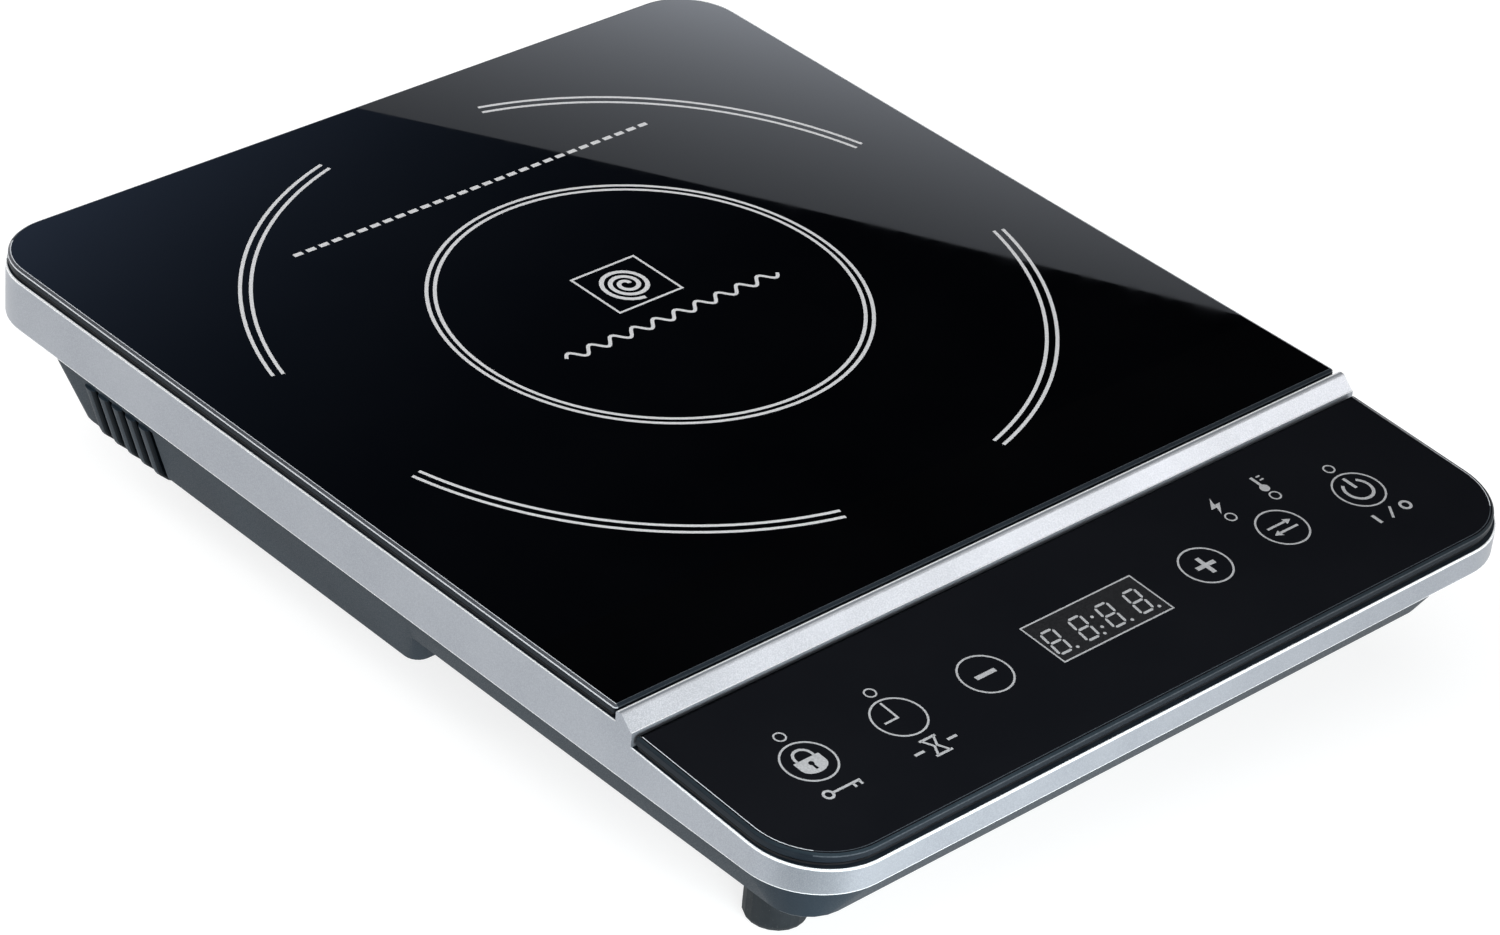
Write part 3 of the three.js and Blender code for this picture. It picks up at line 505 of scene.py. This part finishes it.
INNER = {
    "seal_silicone": mottled("seal_silicone", (0.008, 0.008, 0.009), (0.014, 0.014, 0.016), 6, 0.5),
    "steel": steel_look(),
    "coil_copper": copper_look(),
    "white_plastic": mottled("white_plastic", (0.66, 0.63, 0.56), (0.76, 0.73, 0.66), 9, 0.5, 0.02),
    "light_print": mottled("display_body", (0.60, 0.60, 0.60), (0.70, 0.70, 0.70), 5, 0.4, 0.01),
    "ferrite": ferrite_look(),
    "mica": mica_look(),
    "black_plastic": mottled("black_plastic", (0.014, 0.014, 0.016), (0.024, 0.024, 0.026), 5, 0.4, 0.02),
    "board_laminate": board_look("power_board", (0.42, 0.26, 0.10), (0.54, 0.36, 0.17), 2.6),
    "control_laminate": board_look("control_board", (0.02, 0.13, 0.06), (0.04, 0.20, 0.10), 1.4),
    "heat_sink_aluminium": heat_sink_look(),
    "film_case": mottled("film_case", (0.60, 0.38, 0.03), (0.74, 0.50, 0.06), 3, 0.3, 0.015, (0.2, 0.35)),
    "lamp_red": mottled("lamp_red", (0.42, 0.03, 0.02), (0.58, 0.06, 0.04), 1, 0.3, 0.004, (0.12, 0.22)),
    "wire_jacket": mottled("wire_jacket", (0.62, 0.62, 0.60), (0.74, 0.74, 0.72), 3, 0.3, 0.01, (0.35, 0.5)),
}


def dress_nodes():
    """Every CAD node keeps its shape and gets its slot's material: the feet and the gland are rubber,
    and so are the nodes that pieces replace, which don't show."""
    slots = {part["node"]: part["material_slot"] for part in frame["record"]["subparts"]}
    for name, node in NODES.items():
        look = INNER.get(slots[name], OUTER["rubber"])
        node.data.materials.clear()
        node.data.materials.append(look)


# ------------------------------------------------------------------ replaced CAD shapes
DECK = Matrix.Translation((0, DECK_ORIGIN_Y * MM, DECK_HEIGHT * MM)) @ Matrix.Rotation(DECK_TILT, 4, "X")
GLASS_PLANE = Matrix.Translation((0, 0, GLASS_TOP * MM))
UP = Vector((0, 0, 1))
# Material numbers of the glass plates, of the frame and of the casing.
GLOSS, CHAMFER, SIDE, RIM_LINE, FOOT_LINE, CROSS_CHAMFER, CROSS_LINE = range(7)
# Faces that run across take darker copies: painted shade against the painted highlight down the sides.
ACROSS = {CHAMFER: CROSS_CHAMFER, RIM_LINE: CROSS_LINE, FOOT_LINE: CROSS_LINE}
SILVER, LIP, BAR, SHADOW_GAP = range(4)
CASING, SHADE = range(2)
BAR_FOOT = DECK_REAR + 1
# Width of the painted highlight line inside the rim.
HIGHLIGHT_WIDTH = 0.26
# Parts of a unit normal along an axis: for a level face, and for one that leans clearly.
LEVEL = 0.98
LEANING = 0.3


def glass_piece(name, node, looks, up, border):
    """A glass plate: glossy faces, a ground chamfer, a dark side, and a line of painted highlight along each
    edge of the chamfer. The line on the face lies a border's width in from the rim. The cut edges
    down the two sides are painted brighter, as highlight, than those that run across, which are painted
    darker as shade."""
    bm = frame_mesh(node, merge=0.05)
    for face in bm.faces:
        rise = face.normal.dot(up)
        face.material_index = GLOSS if abs(rise) > LEVEL else CHAMFER if rise > LEANING else SIDE
    round_edges(bm, lambda edge: {face.material_index for face in edge.link_faces} == {CHAMFER, SIDE},
                width=0.2, segments=2, slot=FOOT_LINE)
    top = max((face for face in bm.faces if face.material_index == GLOSS),
              key=lambda face: face.calc_center_median().dot(up))
    for width, material in ((border, GLOSS), (HIGHLIGHT_WIDTH, RIM_LINE)):
        ring = bmesh.ops.inset_region(bm, faces=[top], thickness=width * MM, use_even_offset=False)
        for face in ring["faces"]:
            face.material_index = material
    # Painted highlight and shade: away from the two sides, chamfer and lines swap to their darker copies.
    side_strip = 8
    for face in bm.faces:
        if abs(face.calc_center_median().x) < (HALF_WIDTH - side_strip) * MM:
            face.material_index = ACROSS.get(face.material_index, face.material_index)
    piece = link_piece(name, finish_mesh(bm, name), [OUTER[look] for look in looks])
    even_shading(piece)
    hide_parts(node)
    return piece


def on_bar(point):
    """Whether a point in millimetres belongs to the divider bar or the walls beside it."""
    wall, seat = 3, 1
    return DECK_REAR - wall < point.y < BAR_REAR + seat


def is_outer(edge):
    """An edge on the band's outside wall, away from the divider bar."""
    middle = (edge.verts[0].co + edge.verts[1].co) / 2
    outward = Vector((middle.x, middle.y, 0)).normalized()
    facing = 0.6
    on_wall = any(face.normal.dot(outward) > facing and abs(face.normal.z) < LEANING
                  for face in edge.link_faces)
    return on_wall and not on_bar(middle / MM)


def tops_bar(edge, side):
    """A long edge of the divider bar's top: its rear edge where side is 1, its front one where -1."""
    first, second = (vertex.co / MM for vertex in edge.verts)
    leans = [face.normal.y for face in edge.link_faces if face.normal.z > LEANING]
    long_run, upright = 50, 0.1
    return (abs(first.x - second.x) > long_run and first.y > BAR_FOOT and on_bar(first)
            and min(leans, default=1) < upright and any(lean * side > LEANING for lean in leans))


def frame_piece():
    """The silver frame, its outer edges rounded and painted bright as a highlight, with the seat under the
    glass painted dark as shadow.
    """
    bm = frame_mesh("top_frame")
    for face in bm.faces:
        middle = face.calc_center_median() / MM
        # Painted highlight: faces that lean forwards and up take the brighter bar silver.
        if face.normal.y < -LEANING and face.normal.z > LEANING:
            face.material_index = BAR
        # Painted highlight: the bar's level ledge at the deck takes the lip's bright colour.
        elif face.normal.z > LEVEL and middle.y < BAR_FOOT and on_bar(middle):
            face.material_index = LIP
        # Painted shadow: the level seat round the glass takes the dark glass-side colour of the shadow gap
        # under the glass.
        elif face.normal.z > LEVEL and not on_bar(middle):
            face.material_index = SHADOW_GAP
        else:
            face.material_index = SILVER
    # Painted highlight: the rounded outer edges and the bar's rear top edge take the lip's bright colour.
    round_edges(bm, is_outer, width=0.5, segments=3, slot=LIP, clamp=False)
    round_edges(bm, lambda edge: tops_bar(edge, 1), width=0.5, segments=2, slot=LIP)
    # Painted highlight: the bar's front top edge takes the brighter bar silver.
    round_edges(bm, lambda edge: tops_bar(edge, -1), width=0.45, segments=4, slot=BAR)
    piece = link_piece("frame_band", finish_mesh(bm, "frame_band"),
                       [OUTER[look] for look in ("silver", "lip", "bar", "side")])
    even_shading(piece)
    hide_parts("top_frame")
    return piece


def casing_piece():
    """The bottom casing with its louvre ribs and rims rounded, and the ribs' front sides painted darker as
    shade.
    """
    bm = frame_mesh("lower_casing")
    round_edges(bm, lambda edge: edge.is_convex, width=0.35, segments=2)
    sliver, forward = 0.004, 0.25
    bmesh.ops.dissolve_degenerate(bm, edges=bm.edges, dist=sliver * MM)
    for face in bm.faces:
        middle = face.calc_center_median() / MM
        beside = abs(middle.x) > CASING_SIDE and LOUVRES[0] < middle.y < LOUVRES[1]
        # Painted shade for the forward-facing faces beside the louvres.
        face.material_index = SHADE if beside and face.normal.y < -forward else CASING
    piece = link_piece("casing_shell", finish_mesh(bm, "casing_shell"), (OUTER["casing"], OUTER["shade"]))
    even_shading(piece)
    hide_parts("lower_casing")
    return piece


# ------------------------------------------------------------------ printed symbols
def arc_points(x, y, radius, start, end, steps):
    """Points along a circle, from the start angle to the end angle in degrees."""
    angles = [math.radians(start + (end - start) * k / steps) for k in range(steps + 1)]
    return [(x + radius * math.cos(a), y + radius * math.sin(a)) for a in angles]


class Ink:
    """Thin printed marks that lie on a plane; points are (x, y) in millimetres on that plane."""

    def __init__(self, plane):
        self.plane = plane
        self.bm = bmesh.new()

    def vertex(self, point, height):
        """A corner of the ink, height millimetres over the plane."""
        return self.bm.verts.new(self.plane @ Vector((point[0] * MM, point[1] * MM, height * MM)))

    def strip(self, left, right, closed=False):
        """A slab between two rows of points that run side by side."""
        rows = [[self.vertex(a, INK), self.vertex(b, INK), self.vertex(b, -INK), self.vertex(a, -INK)]
                for a, b in zip(left, right)]
        pairs = list(zip(rows, rows[1:]))
        if closed:
            pairs.append((rows[-1], rows[0]))
        else:
            self.bm.faces.new(rows[0])
            self.bm.faces.new(rows[-1])
        for first, second in pairs:
            for k in range(len(first)):
                after = (k + 1) % len(first)
                self.bm.faces.new((first[k], first[after], second[after], second[k]))

    def patch(self, points, height=INK, material=0):
        """A filled outline."""
        top = [self.vertex(point, height) for point in points]
        under = [self.vertex(point, -INK) for point in points]
        faces = [self.bm.faces.new(top), self.bm.faces.new(under)]
        for k in range(len(points)):
            after = (k + 1) % len(points)
            faces.append(self.bm.faces.new((top[k], top[after], under[after], under[k])))
        for face in faces:
            face.material_index = material

    def ring(self, x, y, radius, width, start=0.0, end=360.0):
        """A circle, or the part of it from the start angle to the end angle in degrees."""
        fewest, whole_turn = 12, 48
        steps = max(fewest, round(abs(end - start) / 360 * (whole_turn + radius)))
        closed = abs(end - start) >= 360
        rows = [arc_points(x, y, r, start, end, steps) for r in (radius + width / 2, radius - width / 2)]
        if closed:
            rows = [row[:-1] for row in rows]
        self.strip(*rows, closed=closed)

    def stroke(self, points, width, closed=False):
        """A line of even width with mitred corners."""
        sharpest = 0.4
        vectors = [Vector(point) for point in points]
        left, right = [], []
        for k, point in enumerate(vectors):
            inward = point - vectors[k - 1] if closed or k > 0 else None
            outward = vectors[(k + 1) % len(vectors)] - point if closed or k < len(vectors) - 1 else None
            sides = [Vector((-way.y, way.x)).normalized() for way in (inward, outward) if way is not None]
            side = sum(sides, Vector((0, 0))).normalized()
            reach = width / 2 / max(sharpest, side.dot(sides[0]))
            left.append(point + side * reach)
            right.append(point - side * reach)
        self.strip(left, right, closed)

    def finish(self, name, looks):
        """The marks drawn so far become one piece."""
        bmesh.ops.recalc_face_normals(self.bm, faces=self.bm.faces)
        mesh = bpy.data.meshes.new(name)
        self.bm.to_mesh(mesh)
        self.bm.free()
        return link_piece(name, mesh, looks)


def on_deck(x, y):
    """A point of the control glass, from its place in the part's frame to its place on the sloping deck."""
    return (x, (y - DECK_ORIGIN_Y) / math.cos(DECK_TILT))


def deck_points(*points):
    """Several points of the part's frame on the sloping deck."""
    return [on_deck(x, y) for x, y in points]


def print_cooking_zone():
    """The pan circle and the four pairs of arcs round it."""
    ink = Ink(GLASS_PLANE)
    for radius in ZONE_RINGS:
        ink.ring(0, ZONE_CENTRE_Y, radius, ZONE_LINE)
    for start, end in ARC_SPANS:
        for radius in ARC_RADII:
            ink.ring(0, ZONE_CENTRE_Y, radius, ZONE_LINE, start, end)
    return ink.finish("print_cooking_zone", (OUTER["ink"],))


def print_coil_emblem():
    """A frame round a coil sign, with a wave line under it."""
    ink = Ink(GLASS_PLANE)
    left, right, front, rear, frame_line = -12.1, 12.1, 40.8, 62.4, 0.78
    ink.stroke(((left, front), (right, front), (right, rear), (left, rear)), frame_line, closed=True)
    middle = (front + rear) / 2
    turns, steps, start_radius, growth, spiral_line = 2.75, 66, 1.2, 7.2, 1.4
    spiral = []
    for k in range(steps + 1):
        angle = math.tau * turns * k / steps
        radius = start_radius + growth * k / steps
        spiral.append((radius * math.cos(angle), middle + radius * math.sin(angle)))
    ink.stroke(spiral, spiral_line)
    waves, steps, length, height, wave_y, wave_line = 10, 120, 82, 1.9, 31, 1.1
    wave = [(length * (k / steps - 0.5), wave_y + height * math.sin(math.tau * waves * k / steps))
            for k in range(steps + 1)]
    ink.stroke(wave, wave_line)
    return ink.finish("print_coil_emblem", (OUTER["ink"],))


def print_rear_dashes():
    """A row of short dashes across the rear of the cooking glass."""
    ink = Ink(GLASS_PLANE)
    dash, gap, height, y = 3.2, 1.6, 1.6, 119
    x, end = -70.0, 72
    while x + dash < end:
        ink.stroke(((x, y), (x + dash, y)), height)
        x += dash + gap
    return ink.finish("print_rear_dashes", (OUTER["ink"],))


def print_key_circles():
    """The circle of each touch key and the little ring of each lamp."""
    ink = Ink(DECK)
    key_radius, key_line, lamp_radius, lamp_line = 7.75, 0.6, 1.65, 0.5
    for x in KEY_X.values():
        ink.ring(*on_deck(x, KEY_ROW), key_radius, key_line)
    for x in LAMP_X.values():
        ink.ring(*on_deck(x, LAMP_ROW), lamp_radius, lamp_line)
    return ink.finish("print_key_circles", (OUTER["deck_ink"],))


def print_lock():
    """A padlock in its key, and a small key under it."""
    ink = Ink(DECK)
    x = KEY_X["lock"]
    half, shoulder, belly, depth = 4.4, -141.5, -144.6, 3.0
    body = [(x - half, shoulder), (x + half, shoulder)]
    body += [(a, belly + (b - belly) * depth / half) for a, b in arc_points(x, belly, half, 0, -180, 8)]
    ink.patch(deck_points(*body))
    bow, bow_foot, bow_centre, bow_line = 2.9, -141.7, -140.7, 0.85
    arch = arc_points(x, bow_centre, bow, 180, 0, 8)
    ink.stroke(deck_points((x - bow, bow_foot), *arch, (x + bow, bow_foot)), bow_line)
    hole, hole_y, slit, slit_foot = 0.85, -143.7, 0.45, -146.2
    keyhole = arc_points(x, hole_y, hole, -60, 240, 12)
    ink.patch(deck_points(*keyhole, (x - slit, slit_foot), (x + slit, slit_foot)), INK * 1.5, 1)
    key_y, key_line, grip_x, grip, shaft, tip = -155.4, 0.8, 4.9, 1.4, 3.4, 6.2
    ink.ring(*on_deck(x - grip_x, key_y), grip, key_line)
    ink.stroke(deck_points((x - shaft, key_y), (x + tip, key_y)), key_line)
    for tooth in (3.4, 5.6):
        ink.stroke(deck_points((x + tooth, key_y - 0.2), (x + tooth, key_y - 1.8)), key_line)
    return ink.finish("print_lock", (OUTER["deck_ink"], OUTER["control_face"]))


def print_timer():
    """Clock hands in their key, and an hourglass between dashes under it."""
    ink = Ink(DECK)
    x = KEY_X["timer"]
    hand_line, cap_line, glass_line, dash_line = 0.7, 0.8, 0.7, 0.9
    ink.stroke(deck_points((x - 0.2, -135.9), (x - 0.4, -142.8), (x - 5.2, -142.9)), hand_line)
    top, foot, cap, bulb, waist = -153.4, -160.0, 2.9, 2.2, 0.45
    middle = (top + foot) / 2
    for y in (top, foot):
        ink.stroke(deck_points((x - cap, y), (x + cap, y)), cap_line)
    for side in (-1, 1):
        wall = ((x + side * bulb, top), (x + side * waist, middle), (x + side * bulb, foot))
        ink.stroke(deck_points(*wall), glass_line)
    near, far = 4.2, 7.6
    for side in (-1, 1):
        ink.stroke(deck_points((x + side * near, middle), (x + side * far, middle)), dash_line)
    return ink.finish("print_timer", (OUTER["deck_ink"],))


def print_minus_and_plus():
    """A bar and a cross with square ends."""
    ink = Ink(DECK)
    arm, half = 3.6, 0.75
    x = KEY_X["minus"]
    ink.stroke(deck_points((x - arm, KEY_ROW), (x + arm, KEY_ROW)), half * 2)
    x = KEY_X["plus"]
    cross = []
    for turn in range(4):
        angle = turn * math.pi / 2
        for across, along in ((-half, half), (-half, arm), (half, arm)):
            cross.append((x + across * math.cos(angle) + along * math.sin(angle),
                          KEY_ROW - across * math.sin(angle) + along * math.cos(angle)))
    ink.patch(deck_points(*cross))
    return ink.finish("print_minus_and_plus", (OUTER["deck_ink"],))


def print_mode():
    """Two opposing arrows, for the key that changes the mode."""
    ink = Ink(DECK)
    x = KEY_X["mode"]
    apart, line, tail, neck, tip, barb, half_head = 1.5, 0.8, 4.6, 2.6, 4.8, 2.4, 1.25
    for side in (-1, 1):
        y = KEY_ROW + side * apart
        ink.stroke(deck_points((x - side * tail, y), (x + side * neck, y)), line)
        ink.patch(deck_points((x + side * tip, y), (x + side * barb, y + half_head),
                              (x + side * barb, y - half_head)))
    return ink.finish("print_mode", (OUTER["deck_ink"],))


def print_power():
    """The standby sign in its key, and a bar and a ring either side of a slash under it."""
    ink = Ink(DECK)
    x = KEY_X["power"]
    sign_y, sign_radius, sign_line, bar_line = -142.6, 4.4, 1.0, 1.1
    ink.ring(*on_deck(x, sign_y), sign_radius, sign_line, start=128, end=412)
    ink.stroke(deck_points((x, -136.7), (x + 0.1, -141.8)), bar_line)
    ink.stroke(deck_points((x - 6.2, -157.2), (x - 6.2, -153.3)), bar_line)
    slash_line, ring_radius, ring_line = 0.8, 1.6, 0.9
    ink.stroke(deck_points((x - 1.6, -157.4), (x + 1.4, -153.1)), slash_line)
    ink.ring(*on_deck(x + 6.0, -155.2), ring_radius, ring_line)
    return ink.finish("print_power", (OUTER["deck_ink"],))


def print_lamp_signs():
    """A bolt over the power lamp and a thermometer over the heat lamp."""
    ink = Ink(DECK)
    x = LAMP_X["watts"]
    ink.patch(deck_points((x + 1.2, -121.9), (x - 2.3, -126.0), (x - 0.2, -126.0), (x - 1.3, -128.9),
                          (x + 2.3, -124.8), (x + 0.2, -124.8)))
    x = LAMP_X["heat"]
    bulb_y, bulb_radius, half_tube, tube_top, mark_line = -127.2, 1.6, 0.5, -121.6, 0.5
    bulb = arc_points(x, bulb_y, bulb_radius, 108, 432, 12)
    ink.patch(deck_points(*bulb, (x + half_tube, tube_top), (x - half_tube, tube_top)))
    for mark in (-122.3, -123.9):
        ink.stroke(deck_points((x + 1.5, mark), (x + 3.1, mark)), mark_line)
    return ink.finish("print_lamp_signs", (OUTER["deck_ink"],))


SEGMENT_LINES = {
    "top": ((0, 1), (1, 1)),
    "upper_left": ((0, 0.5), (0, 1)),
    "upper_right": ((1, 0.5), (1, 1)),
    "middle": ((0, 0.5), (1, 0.5)),
    "lower_left": ((0, 0), (0, 0.5)),
    "lower_right": ((1, 0), (1, 0.5)),
    "bottom": ((0, 0), (1, 0)),
}


def segment_outline(start, end, thickness, gap):
    """One bar of a digit: a long hexagon that stops just short of its neighbours."""
    start, end = Vector(start), Vector(end)
    along = (end - start).normalized()
    across = Vector((-along.y, along.x)) * thickness / 2
    start, end = start + along * gap, end - along * gap
    tip = along * thickness / 2
    return [start, start + tip + across, end - tip + across, end, end - tip - across, start + tip - across]


def print_digits():
    """Four digits with every bar shown, their points and the colon."""
    ink = Ink(DECK)
    width, height, lean, thickness, gap = 4.6, 9.4, 0.15, 0.85, 0.32
    foot, dot_radius, point_y = -148.25, 0.55, -148.4
    for left in (-21.5, -10.9, -0.5, 10.3):
        for start, end in SEGMENT_LINES.values():
            start = (start[0] * width, start[1] * height)
            end = (end[0] * width, end[1] * height)
            outline = segment_outline(start, end, thickness, gap)
            ink.patch(deck_points(*[(left + p.x + lean * p.y, foot + p.y) for p in outline]))
    points = [(x, point_y) for x in (-15.1, -4.6, 6.1, 16.8)]
    colon = [(-3.2, -146.0), (-2.4, -141.4)]
    for x, y in points + colon:
        dot = arc_points(x, y, dot_radius, 0, 360, 12)[:-1]
        ink.patch(deck_points(*dot))
    return ink.finish("print_digits", (OUTER["deck_ink"],))


def print_display_window():
    """The display's outline and the smoked window inside it."""
    left, right, front, rear = DISPLAY
    corners = deck_points((left, front), (right, front), (right, rear), (left, rear))
    frame_line = 0.5
    window = Ink(DECK)
    window.patch(corners, INK * 0.5)
    window.finish("display_window", (OUTER["window"],))
    line = Ink(DECK)
    line.stroke(corners, frame_line, closed=True)
    return line.finish("print_display_frame", (OUTER["deck_ink"],))


# ------------------------------------------------------------------ room
GLASS_INDEX = 1.5
# The part of the cooking glass in which the studio panel is seen, and how finely it is built.
GLOW_FRONT = -70.0
GLOW_REAR = 184.0
GLOW_HALF_WIDTH = 143.0
GLOW_ROWS = 48
GLOW_COLUMNS = 16
PANEL_TINT = (0.93, 0.99, 1.10)
NAVY_TINT = (0.72, 1.0, 1.6)


def panel_side(y):
    """Where the panel's cut side crosses the glass at one depth."""
    at_middle, slant, curve = 103, 0.55, 0.0002
    return at_middle - slant * y - curve * y * y


def panel_level(x, y):
    """The panel's brightness in the glass, which grows to the right and to the rear."""
    level, at_x, at_y, growth_x, growth_y = 0.102, 90, 140, 0.0127, 0.0069
    return level * math.exp(growth_x * (x - at_x) + growth_y * (y - at_y))


def navy_level(x, y):
    """The navy glow's brightness in the glass, which grows to the rear and fades to the right."""
    level, at_x, at_y, fade_x, growth_y = 0.0120, -50, 170, 0.0065, 0.0165
    return level * math.exp(growth_y * (y - at_y) - fade_x * (x - at_x))


def mirror_share(cosine):
    """The share of light that polished glass mirrors at this angle."""
    inside = math.sqrt(1 - (1 - cosine ** 2) / GLASS_INDEX ** 2)
    upright = (cosine - GLASS_INDEX * inside) / (cosine + GLASS_INDEX * inside)
    level = (GLASS_INDEX * cosine - inside) / (GLASS_INDEX * cosine + inside)
    return (upright ** 2 + level ** 2) / 2


def glow_material(name):
    """Light of the colour that the mesh's glow layer holds."""
    material = bpy.data.materials.new(name)
    material.use_nodes = True
    nodes = material.node_tree.nodes
    nodes.clear()
    colour = nodes.new("ShaderNodeAttribute")
    colour.attribute_name = "glow"
    emission = nodes.new("ShaderNodeEmission")
    output = nodes.new("ShaderNodeOutputMaterial")
    material.node_tree.links.new(colour.outputs["Color"], emission.inputs["Color"])
    material.node_tree.links.new(emission.outputs["Emission"], output.inputs["Surface"])
    return material


def studio_panel(name, wall):
    """The studio wall that the cooking glass mirrors: a pale panel with one straight-cut side and a
    faint navy glow beside it. Each corner lies where the line from the eye, turned back by the
    glass, meets the wall, and its light makes up for the share that the glass mirrors there."""
    mesh = bpy.data.meshes.new(name)
    bm = bmesh.new()
    glow = bm.verts.layers.float_color.new("glow")

    def corner(x, y, level, tint):
        point = Vector((x * MM, y * MM, GLASS_TOP * MM))
        ray = point - Vector(EYE)
        ray.z = -ray.z
        vertex = bm.verts.new(point + ray * ((wall - point.y) / ray.y))
        share = mirror_share(ray.normalized().z)
        vertex[glow] = (*(level * part / share for part in tint), 1)
        return vertex

    def fill(left, right, level, tint):
        grid = []
        for row in range(GLOW_ROWS + 1):
            y = GLOW_FRONT + (GLOW_REAR - GLOW_FRONT) * row / GLOW_ROWS
            xs = [left(y) + (right(y) - left(y)) * k / GLOW_COLUMNS for k in range(GLOW_COLUMNS + 1)]
            grid.append([corner(x, y, level(x, y), tint) for x in xs])
        for low, high in zip(grid, grid[1:]):
            for k in range(GLOW_COLUMNS):
                bm.faces.new((low[k], low[k + 1], high[k + 1], high[k]))

    fill(panel_side, lambda y: GLOW_HALF_WIDTH, panel_level, PANEL_TINT)
    fill(lambda y: -GLOW_HALF_WIDTH, panel_side, navy_level, NAVY_TINT)
    bm.to_mesh(mesh)
    bm.free()
    card = bpy.data.objects.new(name, mesh)
    bpy.context.scene.collection.objects.link(card)
    mesh.materials.append(glow_material(name))
    card.visible_camera = False
    card.visible_diffuse = False
    card.visible_shadow = False
    card.visible_transmission = False


def flat_sheet(name, corners):
    """A four-cornered sheet for the room."""
    mesh = bpy.data.meshes.new(name)
    mesh.from_pydata(corners, [], [(0, 1, 2, 3)])
    sheet = bpy.data.objects.new(name, mesh)
    bpy.context.scene.collection.objects.link(sheet)
    return sheet


def add_floor():
    """A plain pale floor that runs out of sight, with a little light of its own to keep it white."""
    reach = 12
    floor = flat_sheet("floor", [(-reach, -reach, 0), (reach, -reach, 0),
                                 (reach, reach, 0), (-reach, reach, 0)])
    look = Look("floor", roughness=0.9, specular=0.1)
    look.paint(look.blend(look.spread(look.noise(300, 2), 0, 1), (0.31, 0.31, 0.31), (0.33, 0.33, 0.33)))
    look.shader.inputs["Emission Color"].default_value = (1, 1, 1, 1)
    look.shader.inputs["Emission Strength"].default_value = 0.80
    floor.data.materials.append(look.material)


def add_flag():
    """A square of black card on the floor off the near corner, which darkens what the near faces
    mirror. The camera doesn't see it, and it casts no shadow."""
    x, y, half, lift = -0.205, -0.24, 0.09, 0.001
    flag = flat_sheet("flag", [(x - half, y, lift), (x, y - half, lift),
                               (x + half, y, lift), (x, y + half, lift)])
    flag.data.materials.append(mottled("black_card", (0.01, 0.01, 0.01), (0.02, 0.02, 0.02)))
    flag.visible_camera = False
    flag.visible_shadow = False


def add_world():
    """A room that is pale round the sides and dark overhead, and plain white where it is seen directly."""
    world = bpy.data.worlds.new("studio")
    bpy.context.scene.world = world
    world.use_nodes = True
    nodes, links = world.node_tree.nodes, world.node_tree.links
    background = nodes["Background"]
    place = nodes.new("ShaderNodeTexCoord")
    split = nodes.new("ShaderNodeSeparateXYZ")
    fade = nodes.new("ShaderNodeMapRange")
    wall_top, wall_level = 0.10, 0.75
    ceiling_edge, ceiling_level = 0.42, 0.004
    fade.inputs["From Min"].default_value = wall_top
    fade.inputs["From Max"].default_value = ceiling_edge
    fade.inputs["To Min"].default_value = wall_level
    fade.inputs["To Max"].default_value = ceiling_level
    path = nodes.new("ShaderNodeLightPath")
    choice = nodes.new("ShaderNodeMix")
    choice.inputs["B"].default_value = 1.0
    links.new(place.outputs["Generated"], split.inputs["Vector"])
    links.new(split.outputs["Z"], fade.inputs["Value"])
    links.new(path.outputs["Is Camera Ray"], choice.inputs["Factor"])
    links.new(fade.outputs["Result"], choice.inputs["A"])
    links.new(choice.outputs["Result"], background.inputs["Strength"])
    background.inputs["Color"].default_value = (1, 1, 1, 1)


def area_light(name, place, aim, size, power, colour=(1, 1, 1)):
    """A soft rectangular light in metres and watts, turned towards its aim."""
    light = bpy.data.lights.new(name, "AREA")
    light.shape = "RECTANGLE"
    light.size, light.size_y = size
    light.energy = power
    light.color = colour
    lamp = bpy.data.objects.new(name, light)
    lamp.location = place
    lamp.rotation_euler = (Vector(aim) - Vector(place)).to_track_quat("-Z", "Y").to_euler()
    bpy.context.scene.collection.objects.link(lamp)
    return lamp


def light_only(lamp, piece):
    """The lamp lights this piece alone, and shows in nothing else."""
    lit = bpy.data.collections.new(lamp.name + "_lit")
    lit.objects.link(piece)
    lamp.light_linking.receiver_collection = lit


def add_lights(band):
    """A large key light and an overhead one, a glow for the frame's bar, and two lights for the left
    side and the rear that the glass doesn't mirror."""
    area_light("key", place=(1.5, -1.35, 1.5), aim=(0, 0, 0.03), size=(2.6, 2.2), power=8.5)
    glow = area_light("bar_glow", place=(0.42, -0.42, 0.36), aim=(0.18, -0.10, 0.06), size=(0.3, 0.25),
                      power=0.72)
    light_only(glow, band)
    front = area_light("front_left", place=(-0.19, -0.43, 0.14), aim=(-0.11, -0.17, 0.05),
                       size=(0.25, 0.16), power=1.6, colour=(0.88, 0.97, 1))
    front.visible_glossy = False
    rim = area_light("rim", place=(-0.75, 0.85, 0.95), aim=(-0.1, 0, 0.06), size=(0.9, 0.9), power=14)
    rim.visible_glossy = False
    area_light("overhead", place=(0, 0, 2.6), aim=(0, 0, 0), size=(3.2, 3.2), power=38)


# ------------------------------------------------------------------ assembly
add_camera()
bpy.context.scene.view_settings.view_transform = "Standard"
dress_nodes()
glass_piece("cooking_plate", "cooktop_glass",
            looks=("face", "chamfer", "side", "highlight_line", "highlight_line", "side", "shaded_line"),
            up=UP, border=0.04)
glass_piece("control_plate", "control_glass",
            looks=("control_face", "control_chamfer", "side", "highlight_line", "side", "control_chamfer",
                   "shaded_line"),
            up=DECK.to_3x3() @ UP, border=0.45)
band = frame_piece()
casing_piece()
print_cooking_zone()
print_coil_emblem()
print_rear_dashes()
print_key_circles()
print_lock()
print_timer()
print_minus_and_plus()
print_mode()
print_power()
print_lamp_signs()
print_digits()
print_display_window()
add_floor()
add_flag()
add_world()
add_lights(band)
studio_panel("mirrored_panel", wall=0.25)
